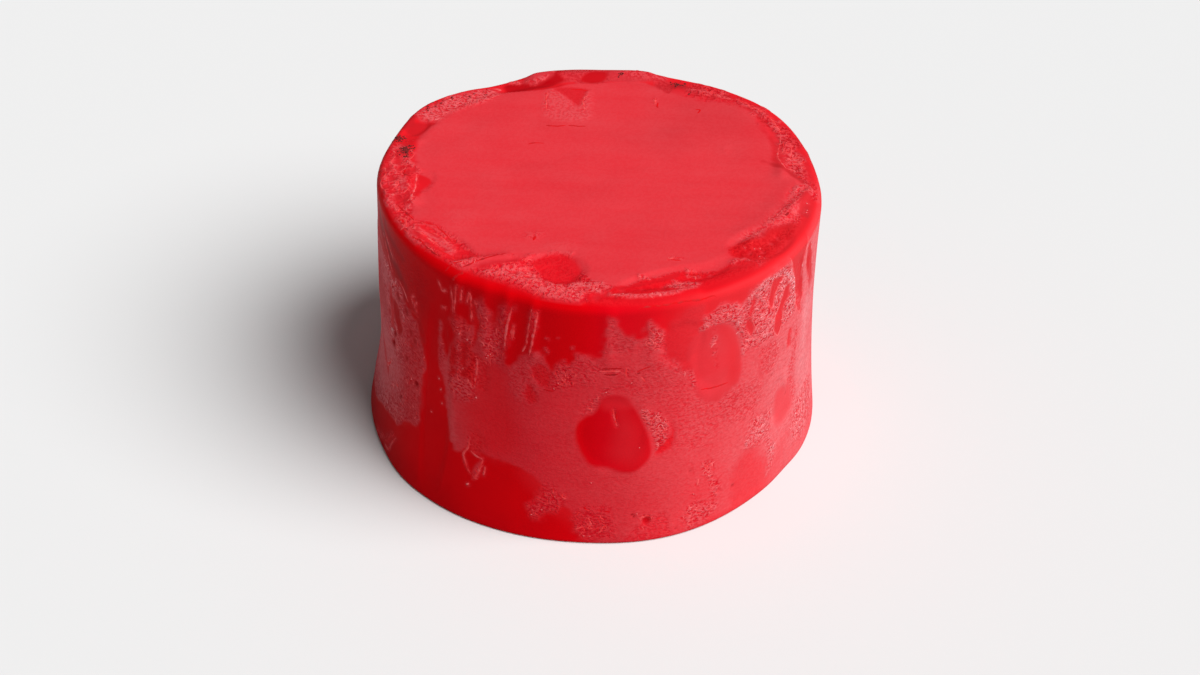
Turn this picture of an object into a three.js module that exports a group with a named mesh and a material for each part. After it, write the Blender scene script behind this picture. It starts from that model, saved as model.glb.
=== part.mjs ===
// A small round cake, covered all over with smooth red cream. One solid, whole and uncut.
// Millimetres, +Z up. The origin is the middle of the flat foot, and the front faces -Y.
// Bearings are degrees round the axis: 0 at the front, 90 at +X, 180 at the back.
import * as THREE from 'three';

// Driving sizes
const HEIGHT = 73.7;
const RIM_RADIUS = 58.8;
const FOOT_RADIUS = 63.7;
const FLARE_POWER = 2.2;
const TOP_SHIFT = { x: -0.3, y: 0.8 };
const SHIFT_POWER = 1.5;

// The rounded edge round the foot
const FOOT_ROUND = 0.9;

// The rounded lip between wall and top, softer at the front left and sharper at the back
const LIP_ROUND = 2.8;
const LIP_CHANGES = [
  { bearing: -25, spread: 24, out: 1.7 },
  { bearing: 180, spread: 70, out: -1.4 },
];

// Uneven places of the rim and the foot: where, how wide, how far out
const RIM_SWELLS = [
  { bearing: 132, spread: 20, out: 3.3 },
  { bearing: 155, spread: 12, out: 0.5 },
  { bearing: -124, spread: 13, out: 2.1 },
  { bearing: -90, spread: 14, out: 0.5 },
  { bearing: -25, spread: 10, out: -1.2 },
];
const FOOT_SWELLS = [
  { bearing: 50, spread: 24, out: -2.0 },
  { bearing: 0, spread: 14, out: -0.6 },
  { bearing: -53, spread: 10, out: 0.7 },
  { bearing: 61, spread: 6, out: -0.4 },
  { bearing: -38, spread: 16, out: 0.9 },
  { bearing: 100, spread: 25, out: 0.3 },
];
const WAIST = { bearing: -88, spread: 26, z: 22, tall: 15, deep: 1.5 };
const RIM_CUT = { bearing: -149, spread: 9, drop: 0.9, inward: 1.3 };

// The smooth plate on the top: its mean radius, how high it stands, and where its edge wanders
const PLATE_RADIUS = 52.5;
const PLATE_RISE = 0.4;
const PLATE_EDGE_WIDTH = 1.4;
const PLATE_EDGE = [
  { bearing: 38, spread: 24, out: -5.6 },
  { bearing: -14, spread: 11, out: -9.5 },
  { bearing: 2, spread: 5, out: 2 },
  { bearing: 104, spread: 9, out: -3 },
  { bearing: 86, spread: 6, out: 2.5 },
  { bearing: 130, spread: 14, out: 2.5 },
  { bearing: -170, spread: 14, out: -1.5 },
];

// Folds and smears of cream on the top, as ridges from one place to another
const TOP_FOLDS = [
  { from: [-20, 53.5], to: [12, 57.5], wide: 2.8, high: 1.2 },
  { from: [-49, -24], to: [-38, -42], wide: 1.9, high: 0.6 },
  { from: [-38, -44], to: [-23, -39], wide: 1.7, high: 0.5 },
  { from: [-33, -45], to: [-20, -42], wide: 1.5, high: 0.45 },
  { from: [-56, -2], to: [-50, -8], wide: 1.8, high: 0.5 },
  { from: [-55, -12], to: [-48, -16], wide: 1.8, high: 0.5 },
  { from: [-54, 6], to: [-51, 14], wide: 1.8, high: 0.5 },
  { from: [-27, -47], to: [-3, -53], wide: 2.6, high: 0.5 },
  { from: [6, -54], to: [24, -50], wide: 1.6, high: 0.5 },
  { from: [38, -28], to: [50, -11], wide: 1.8, high: 0.5 },
  { from: [50, -11], to: [55, -2], wide: 1.6, high: 0.45 },
  { from: [48, 5], to: [50, 22], wide: 1.7, high: 0.5 },
  { from: [22, 51], to: [45, 36], wide: 2.0, high: 0.4 },
];

// Bare places where the cream lies lower: centre, half length, half width, turn in degrees
const TOP_HOLLOWS = [
  { at: [-11, -43], long: 8.5, wide: 6.5, turn: 0, deep: 0.5 },
  { at: [19, -44.5], long: 15, wide: 3.6, turn: 22, deep: 0.5 },
  { at: [41, -28], long: 10, wide: 6.5, turn: 40, deep: 0.5 },
  { at: [-38, -34], long: 9, wide: 3.6, turn: -42, deep: 0.4 },
  { at: [-47, -6], long: 6, wide: 3.2, turn: 80, deep: 0.4 },
  { at: [-52, 22], long: 5.5, wide: 3.6, turn: 60, deep: 0.4 },
  { at: [-21, 47.5], long: 9, wide: 2.2, turn: 12, deep: 0.5 },
];

// Shallow bare drops and gashes on the wall: centre as bearing and height, then half sizes
const WALL_HOLLOWS = [
  { bearing: 5, z: 35, wide: 9, tall: 12, deep: 0.4 },
  { bearing: 32, z: 53.5, wide: 7.5, tall: 11, deep: 0.4 },
  { bearing: 22, z: 60, wide: 6, tall: 7, deep: 0.3 },
  { bearing: -42, z: 30, wide: 5, tall: 32, deep: 0.3 },
  { bearing: 53, z: 63, wide: 3.2, tall: 8, deep: 0.4 },
  { bearing: 62.5, z: 61, wide: 2.2, tall: 8, deep: 0.4 },
  { bearing: 68, z: 60, wide: 2.2, tall: 7, deep: 0.4 },
  { bearing: 55, z: 28, wide: 4, tall: 7, deep: 0.3 },
  { bearing: 97, z: 44, wide: 7, tall: 12, deep: 0.3 },
  { bearing: 128, z: 30, wide: 9, tall: 13, deep: 0.4 },
  { bearing: 161, z: 52, wide: 7, tall: 11, deep: 0.4 },
  { bearing: -166, z: 26, wide: 6, tall: 16, deep: 0.3 },
  { bearing: -131, z: 38, wide: 8, tall: 12, deep: 0.4 },
  { bearing: -106, z: 57, wide: 5, tall: 9, deep: 0.3 },
];

// Drips of cream that run down the wall from the lip
const WALL_DRIPS = [
  { bearing: -36, low: 57, high: 70, wide: 1.6, proud: 0.4 },
  { bearing: -28, low: 52, high: 68, wide: 1.6, proud: 0.4 },
  { bearing: -22, low: 52, high: 70, wide: 1.5, proud: 0.4 },
  { bearing: -15, low: 57, high: 70, wide: 1.5, proud: 0.4 },
  { bearing: 3.5, low: 57, high: 70, wide: 1.8, proud: 0.3 },
  { bearing: 14.5, low: 57, high: 68, wide: 2.2, proud: 0.3 },
  { bearing: 108, low: 55, high: 70, wide: 1.8, proud: 0.4 },
  { bearing: 117, low: 50, high: 68, wide: 1.6, proud: 0.4 },
  { bearing: 146, low: 58, high: 70, wide: 1.8, proud: 0.3 },
  { bearing: 178, low: 54, high: 70, wide: 1.6, proud: 0.4 },
  { bearing: -172, low: 58, high: 69, wide: 1.6, proud: 0.4 },
  { bearing: -139, low: 55, high: 68, wide: 2.0, proud: 0.3 },
  { bearing: -118, low: 57, high: 70, wide: 1.6, proud: 0.4 },
];

// How finely the surface is divided
const SEGMENTS = 160;
const WALL_STEP = 4.6;
const LIP_STEPS = 4;
const TOP_STEP = 2.0;
const FINE_BAND = 12;
const COARSE_RINGS = [0.82, 0.66, 0.46, 0.24];

const radians = THREE.MathUtils.degToRad;
const clamp = THREE.MathUtils.clamp;

// Nearest way round from one bearing to another
function turnBetween(bearing, other) {
  return THREE.MathUtils.euclideanModulo(bearing - other + 180, 360) - 180;
}

// A soft swelling that is 1 at its middle and dies away over its spread
function bell(distance, spread) {
  return Math.exp(-((distance / spread) ** 2));
}

// The sum of a list of swellings at a bearing
function swell(list, bearing) {
  return list.reduce((sum, s) => sum + s.out * bell(turnBetween(bearing, s.bearing), s.spread), 0);
}

function cutAt(bearing) {
  return bell(turnBetween(bearing, RIM_CUT.bearing), RIM_CUT.spread);
}

function rimRadius(bearing) {
  return RIM_RADIUS + swell(RIM_SWELLS, bearing);
}

// The wall flares towards the foot, and is pinched a little at the waist
function wallRadius(bearing, z) {
  const rim = rimRadius(bearing);
  const foot = FOOT_RADIUS + swell(FOOT_SWELLS, bearing);
  const flare = (foot - rim) * clamp(1 - z / HEIGHT, 0, 1) ** FLARE_POWER;
  const pinch = bell(turnBetween(bearing, WAIST.bearing), WAIST.spread) * bell(z - WAIST.z, WAIST.tall);
  return rim + flare - WAIST.deep * pinch;
}

// A dent with a flat floor and soft sides, from its distance in half sizes
function dent(distance) {
  return 1 - THREE.MathUtils.smoothstep(distance, 0.75, 1.1);
}

// Relief of the wall, outwards
function wallRelief(bearing, z) {
  let relief = 0;
  for (const hollow of WALL_HOLLOWS) {
    const across = turnBetween(bearing, hollow.bearing) / hollow.wide;
    relief -= hollow.deep * dent(Math.hypot(across, (z - hollow.z) / hollow.tall));
  }
  for (const drip of WALL_DRIPS) {
    const past = Math.max(drip.low - z, z - drip.high, 0);
    relief += drip.proud * bell(turnBetween(bearing, drip.bearing), drip.wide) * bell(past, 2);
  }
  return relief * THREE.MathUtils.smoothstep(z, 0, 6);
}

// How far a place on the top is from the stretch between two others
function distanceToStretch(x, y, from, to) {
  const [dx, dy] = [to[0] - from[0], to[1] - from[1]];
  const along = clamp(((x - from[0]) * dx + (y - from[1]) * dy) / (dx * dx + dy * dy), 0, 1);
  return Math.hypot(x - from[0] - along * dx, y - from[1] - along * dy);
}

// Relief of the top, upwards: the plate, the folds and the bare hollows
function topRelief(x, y) {
  const radius = Math.hypot(x, y);
  const bearing = THREE.MathUtils.radToDeg(Math.atan2(x, -y));
  const edge = PLATE_RADIUS + swell(PLATE_EDGE, bearing);
  const inside = 1 - THREE.MathUtils.smoothstep(radius, edge - PLATE_EDGE_WIDTH, edge + PLATE_EDGE_WIDTH);
  let relief = -PLATE_RISE * (1 - inside);
  for (const fold of TOP_FOLDS) {
    relief += fold.high * bell(distanceToStretch(x, y, fold.from, fold.to), fold.wide);
  }
  for (const hollow of TOP_HOLLOWS) {
    const turn = radians(hollow.turn);
    const [dx, dy] = [x - hollow.at[0], y - hollow.at[1]];
    const along = (dx * Math.cos(turn) + dy * Math.sin(turn)) / hollow.long;
    const across = (dy * Math.cos(turn) - dx * Math.sin(turn)) / hollow.wide;
    relief -= hollow.deep * dent(Math.hypot(along, across));
  }
  return relief;
}

// A point at a bearing, radius and height, on an axis that leans a little as it rises
function place(bearing, radius, z) {
  const lean = clamp(z / HEIGHT, 0, 1) ** SHIFT_POWER;
  return new THREE.Vector3(
    TOP_SHIFT.x * lean + radius * Math.sin(radians(bearing)),
    TOP_SHIFT.y * lean - radius * Math.cos(radians(bearing)),
    z,
  );
}

function lipRound(bearing) {
  return LIP_ROUND + swell(LIP_CHANGES, bearing);
}

// A point of the wall, from the foot's rounded edge up to the lip
function wallPoint(bearing, share) {
  const top = HEIGHT - lipRound(bearing) - RIM_CUT.drop * cutAt(bearing);
  const z = THREE.MathUtils.lerp(FOOT_ROUND, top, share);
  return place(bearing, wallRadius(bearing, z) + wallRelief(bearing, z), z);
}

// A quarter round from the top of the wall to the edge of the top
function lipPoint(bearing, share) {
  const round = lipRound(bearing);
  const cut = cutAt(bearing);
  const angle = (share * Math.PI) / 2;
  const bottom = HEIGHT - round - RIM_CUT.drop * cut;
  const outer = wallRadius(bearing, bottom) - RIM_CUT.inward * cut * Math.sin(angle);
  const radius = outer - round * (1 - Math.cos(angle));
  const point = place(bearing, radius, bottom + round * Math.sin(angle));
  const side = wallRelief(bearing, bottom) * (1 - share);
  point.x += side * Math.sin(radians(bearing));
  point.y -= side * Math.cos(radians(bearing));
  point.z += topRelief(point.x, point.y) * share ** 2;
  return point;
}

// A point of the top, at a distance in from the lip, or a share of the way out from the middle
function topPoint(bearing, inset, share = 1) {
  const edge = lipPoint(bearing, 1);
  const full = Math.hypot(edge.x - TOP_SHIFT.x, edge.y - TOP_SHIFT.y);
  const radius = (full - inset) * share;
  const x = TOP_SHIFT.x + radius * Math.sin(radians(bearing));
  const y = TOP_SHIFT.y - radius * Math.cos(radians(bearing));
  const sunk = RIM_CUT.drop * cutAt(bearing) * bell(full - radius, 6);
  return new THREE.Vector3(x, y, HEIGHT - sunk + topRelief(x, y));
}

// One closed ring of points
function ring(count, pointAt) {
  return Array.from({ length: count }, (_, i) => pointAt((i * 360) / count));
}

// All the rings, from the foot up the wall, over the lip and in over the top
function cakeRings() {
  const rings = [];
  rings.push(ring(SEGMENTS, (bearing) => place(bearing, wallRadius(bearing, 0) - FOOT_ROUND, 0)));
  const wallSteps = Math.round(HEIGHT / WALL_STEP);
  for (let i = 0; i <= wallSteps; i++) {
    rings.push(ring(SEGMENTS, (bearing) => wallPoint(bearing, i / wallSteps)));
  }
  for (let i = 1; i <= LIP_STEPS; i++) {
    rings.push(ring(SEGMENTS, (bearing) => lipPoint(bearing, i / LIP_STEPS)));
  }
  for (let inset = TOP_STEP; inset <= FINE_BAND; inset += TOP_STEP) {
    rings.push(ring(SEGMENTS, (bearing) => topPoint(bearing, inset)));
  }
  for (const share of COARSE_RINGS) {
    rings.push(ring(SEGMENTS / 2, (bearing) => topPoint(bearing, FINE_BAND, share)));
  }
  return rings;
}

// The cake as one closed body: rings stitched together, closed at the middle of top and foot
function cakeGeometry() {
  const rings = cakeRings();
  const positions = [];
  const indices = [];
  const starts = rings.map((points) => {
    const start = positions.length / 3;
    points.forEach((p) => positions.push(p.x, p.y, p.z));
    return start;
  });
  const addPoint = (x, y, z) => positions.push(x, y, z) / 3 - 1;

  for (let r = 0; r + 1 < rings.length; r++) {
    const count = rings[r].length;
    const step = count / rings[r + 1].length;
    for (let i = 0; i < count; i += step) {
      const low = starts[r] + i;
      const lowNext = starts[r] + ((i + step) % count);
      const high = starts[r + 1] + i / step;
      const highNext = starts[r + 1] + ((i / step + 1) % (count / step));
      if (step === 1) {
        indices.push(low, lowNext, highNext, low, highNext, high);
      } else {
        const middle = low + 1;
        indices.push(low, middle, high, middle, highNext, high, middle, lowNext, highNext);
      }
    }
  }

  const footCentre = addPoint(0, 0, 0);
  const foot = starts[0];
  for (let i = 0; i < rings[0].length; i++) {
    indices.push(footCentre, foot + ((i + 1) % rings[0].length), foot + i);
  }
  const last = rings.length - 1;
  const topCentre = addPoint(TOP_SHIFT.x, TOP_SHIFT.y, HEIGHT);
  const count = rings[last].length;
  for (let i = 0; i < count; i++) {
    indices.push(topCentre, starts[last] + i, starts[last] + ((i + 1) % count));
  }

  const geometry = new THREE.BufferGeometry();
  geometry.setAttribute('position', new THREE.Float32BufferAttribute(positions, 3));
  geometry.setIndex(indices);
  geometry.computeVertexNormals();
  return geometry;
}

// Moves a shape sideways until the middle of its box is over the origin
function centreOverOrigin(geometry) {
  geometry.computeBoundingBox();
  const middle = geometry.boundingBox.getCenter(new THREE.Vector3());
  return geometry.translate(-middle.x, -middle.y, 0);
}

function makeCake() {
  const cream = new THREE.MeshStandardMaterial({ color: 0xd8222a, roughness: 0.5, metalness: 0 });
  const cake = new THREE.Mesh(centreOverOrigin(cakeGeometry()), cream);
  cake.name = 'cake';
  return cake;
}

const group = new THREE.Group();
group.add(makeCake());

export default group;
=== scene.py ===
import bmesh
import bpy
import numpy as np
from mathutils import Matrix, Vector
from mathutils.bvhtree import BVHTree


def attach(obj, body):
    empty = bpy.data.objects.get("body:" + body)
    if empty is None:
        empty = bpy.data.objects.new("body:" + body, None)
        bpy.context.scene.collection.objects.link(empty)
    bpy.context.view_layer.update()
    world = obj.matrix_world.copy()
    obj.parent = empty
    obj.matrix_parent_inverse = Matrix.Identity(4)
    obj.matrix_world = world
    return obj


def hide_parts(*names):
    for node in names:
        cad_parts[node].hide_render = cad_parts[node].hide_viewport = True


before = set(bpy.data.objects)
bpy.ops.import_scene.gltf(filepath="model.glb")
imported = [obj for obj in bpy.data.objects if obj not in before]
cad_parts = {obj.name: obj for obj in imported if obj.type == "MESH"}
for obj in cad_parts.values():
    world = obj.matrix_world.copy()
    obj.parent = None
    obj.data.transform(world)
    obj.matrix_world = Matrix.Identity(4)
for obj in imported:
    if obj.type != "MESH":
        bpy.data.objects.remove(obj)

MM = 0.001

# Driving sizes, as in the solid
HEIGHT = 73.7
RIM_RADIUS = 58.8
FOOT_RADIUS = 63.7
FLARE_POWER = 2.2
TOP_SHIFT = (-0.3, 0.8)
SHIFT_POWER = 1.5
FOOT_ROUND = 0.9
LIP_ROUND = 2.8
LIP_CHANGES = [(-25, 24, 1.7), (180, 70, -1.4)]
RIM_SWELLS = [(132, 20, 3.3), (155, 12, 0.5), (-124, 13, 2.1), (-90, 14, 0.5), (-25, 10, -1.2)]
FOOT_SWELLS = [(50, 24, -2.0), (0, 14, -0.6), (-53, 10, 0.7), (61, 6, -0.4), (-38, 16, 0.9),
               (100, 25, 0.3)]
WAIST = dict(bearing=-88, spread=26, z=22, tall=15, deep=1.5)
RIM_CUT = dict(bearing=-149, spread=9, drop=0.9, inward=1.3, reach=6)
# Where the edge of a hollow starts and ends, as a share of its size. How far a drip fades past
# its ends, and how high up the wall is plainer.
HOLLOW_EDGE = (0.75, 1.1)
DRIP_FADE = 2
FOOT_PLAIN = 6
PLATE_RADIUS = 52.5
PLATE_RISE = 0.4
PLATE_EDGE_WIDTH = 1.4
PLATE_EDGE = [(38, 24, -5.6), (-14, 11, -9.5), (2, 5, 2), (104, 9, -3), (86, 6, 2.5),
              (130, 14, 2.5), (-170, 14, -1.5)]

# Folds of cream on the top: from, to, width, height
TOP_FOLDS = [
    ((-20, 53.5), (12, 57.5), 2.8, 1.2), ((-49, -24), (-38, -42), 1.9, 0.6),
    ((-38, -44), (-23, -39), 1.7, 0.5), ((-33, -45), (-20, -42), 1.5, 0.45),
    ((-56, -2), (-50, -8), 1.8, 0.5), ((-55, -12), (-48, -16), 1.8, 0.5),
    ((-54, 6), (-51, 14), 1.8, 0.5), ((-27, -47), (-3, -53), 2.6, 0.5),
    ((6, -54), (24, -50), 1.6, 0.5), ((38, -28), (50, -11), 1.8, 0.5),
    ((50, -11), (55, -2), 1.6, 0.45), ((48, 5), (50, 22), 1.7, 0.5),
    ((22, 51), (45, 36), 2.0, 0.4),
]
# Bare hollows of the top: centre, half length, half width, turn in degrees, depth
TOP_HOLLOWS = [
    ((-11, -43), 8.5, 6.5, 0, 0.5), ((19, -44.5), 15, 3.6, 22, 0.5),
    ((41, -28), 10, 6.5, 40, 0.5), ((-38, -34), 9, 3.6, -42, 0.4),
    ((-47, -6), 6, 3.2, 80, 0.4), ((-52, 22), 5.5, 3.6, 60, 0.4), ((-21, 47.5), 9, 2.2, 12, 0.5),
]
# Bare drops and gashes of the wall: bearing, height, half width, half height, depth
WALL_HOLLOWS = [
    (5, 35, 9, 12, 0.4), (32, 53.5, 7.5, 11, 0.4), (22, 60, 6, 7, 0.3), (-42, 30, 5, 32, 0.3),
    (53, 63, 3.2, 8, 0.4), (62.5, 61, 2.2, 8, 0.4), (68, 60, 2.2, 7, 0.4), (55, 28, 4, 7, 0.3),
    (97, 44, 7, 12, 0.3), (128, 30, 9, 13, 0.4), (161, 52, 7, 11, 0.4), (-166, 26, 6, 16, 0.3),
    (-131, 38, 8, 12, 0.4), (-106, 57, 5, 9, 0.3),
]
# Drips of the wall: bearing, low end, high end, width, height proud
WALL_DRIPS = [
    (-36, 57, 70, 1.6, 0.4), (-28, 52, 68, 1.6, 0.4), (-22, 52, 70, 1.5, 0.4),
    (-15, 57, 70, 1.5, 0.4), (3.5, 57, 70, 1.8, 0.3), (14.5, 57, 68, 2.2, 0.3),
    (108, 55, 70, 1.8, 0.4), (117, 50, 68, 1.6, 0.4), (146, 58, 70, 1.8, 0.3),
    (178, 54, 70, 1.6, 0.4), (-172, 58, 69, 1.6, 0.4), (-139, 55, 68, 2.0, 0.3),
    (-118, 57, 70, 1.6, 0.4),
]

# How finely the surface is divided. The points of a ring stand closer at the front, and the
# rings of the top get fewer points towards its middle.
SEGMENTS = 576
CLOSER = 0.25
FOOT_ANGLES = (30, 60)
WALL_STEP = 0.62
LIP_STEPS = 7
TOP_STEP = 0.62
FINE_BAND = 18
MIDDLE_RINGS = 22
INNER_RINGS = 7
INNER_SHARE = 0.32
LAST_SHARE = 0.02

# Millimetres of wall for each degree of bearing
ARC = 1.065
# Stretches of a curve between two points of an outline
CURVE_STEPS = 4
SEED = 5373
TINY = 1e-9

# Each way the cream can look: haze is how pale, as a share of the usual frost there. Grain is
# how mottled, rise how proud in mm, soft the width of its edge and ragged how far it wanders.
# Dark is how deep the red is, in part the cream's own red and in part painted shade, and a rimmed
# patch has a thin pale ridge along its edge, whose paleness is partly a painted highlight.
FROST = dict(haze=1.0, grain=0.45, rise=0.12, soft=0.5, ragged=0.9)
SMOOTH = dict(haze=1.0, grain=0.12, rise=0.10, soft=0.55, ragged=0.6)
PLATE = dict(SMOOTH, grain=0.08, rise=0.0)
VEIL = dict(haze=0.3, grain=0.2, rise=0.03, soft=4.0, ragged=1.5)
CRUST = dict(haze=1.55, grain=0.8, rise=0.22, soft=0.7, ragged=1.3)
NET = dict(haze=1.1, grain=0.7, rise=0.15, soft=1.4, ragged=1.6)
BARE = dict(haze=0.0, grain=0.0, rise=-0.08, soft=0.5, ragged=0.25)
RIMMED = dict(BARE, rimmed=True, dark=0.2)
ROUGH_BARE = dict(haze=0.1, grain=0.3, rise=-0.08, soft=0.6, ragged=1.2)
THIN = dict(haze=0.5, grain=0.4, rise=-0.03, soft=0.8, ragged=1.1)
SHADE = dict(haze=0.1, grain=0.0, rise=-0.05, soft=1.4, ragged=0.9, dark=0.35)
BLOTCH = dict(haze=0.2, grain=0.1, rise=-0.08, soft=0.6, ragged=0.8, dark=0.2)
PIT = dict(haze=0.0, grain=0.0, rise=-0.40, soft=0.35, ragged=0.2, dark=0.7)

# Thin strands that lie on the coat, pale or dark: how pale they are at least. The pale ridges
# carry a painted highlight in their paleness, and the dark creases are painted shade in the
# folds. A strand look laid as a spot is a speck.
RIDGE_HIGHLIGHT = dict(strand=True, haze=0.07)
FAINT_RIDGE_HIGHLIGHT = dict(strand=True, haze=0.035)
CREASE_SHADE = dict(strand=True, haze=0.0, dark=0.5)
SHALLOW_CREASE_SHADE = dict(strand=True, haze=0.0, dark=0.26)
SPECK = dict(strand=True)
# The mottled frost that a pale strand or a speck stands in
HALO = dict(haze=0.9, grain=0.9, rise=0.08, soft=0.7, ragged=0.3)
# How much of the frost's paleness there, its painted sheen included, a ridge and a crease take on
RIDGE_LOCAL = 0.8
CREASE_LOCAL = 0.25

# The form of a strand: its points along and round it, how deep it is sunk, how tall it is, how
# its width and paleness change along it and fall at its ends, and how its route wobbles
STRAND_STEP = 0.4
STRAND_SIDES = 5
STRAND_SUNK = 0.3
STRAND_TALL = 0.08
CREASE_TALL = 0.05
RIM_HALF = 0.17
STRAND_BLUR = (0.3, 0.4, 0.3)
STRAND_WIDER = 0.6
STRAND_PALER = 1.1
END_NARROWER = 0.94
END_POWER = 5
END_PALE = 0.5
WOBBLE = 0.16
WOBBLE_KEPT = 0.6
# The rim of a bare patch is broken: steps of each stretch and of each gap
RIM_STRETCH = (7, 20)
RIM_GAP = (1, 7)
FEWEST_STEPS = 4


def area(look, *outline):
    """A patch inside a rounded outline."""
    return dict(look, outline=outline, half=0.0, closed=True)


def line(look, half, *route):
    """A streak of one half width along a route."""
    return dict(look, outline=route, half=half, closed=False)


def lines(look, half, *routes):
    """Streaks of one half width along several routes."""
    return [line(look, half, *route) for route in routes]


def spots(look, radius, *places):
    """Round spots of one radius."""
    return [dict(look, outline=(p,), half=radius, closed=False) for p in places]


# The two large bare drops of the front: (bearing, height)
FIRST_DROP = (
    (3.6, 46.3), (7, 46.5), (9, 44.2), (11, 41.3), (12.6, 38), (14, 34.3), (15, 30.5), (14.7, 27),
    (12.5, 24), (10, 22.6), (7, 23), (4, 24.3), (1, 24.7), (-1.3, 27), (-3, 30.5), (-3.8, 34.5),
    (-3.2, 38), (-1.2, 40), (0.5, 41), (2, 44),
)
SECOND_DROP = (
    (24.5, 61), (27.5, 62.8), (31, 63.4), (34, 62.3), (36.5, 59.8), (38.3, 55.5), (39.3, 50),
    (39.4, 45), (38.5, 41.7), (36.5, 39.7), (33.5, 39.2), (30, 40.2), (27.5, 42.5), (26.3, 47),
    (25, 51.5), (23, 56),
)
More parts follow.
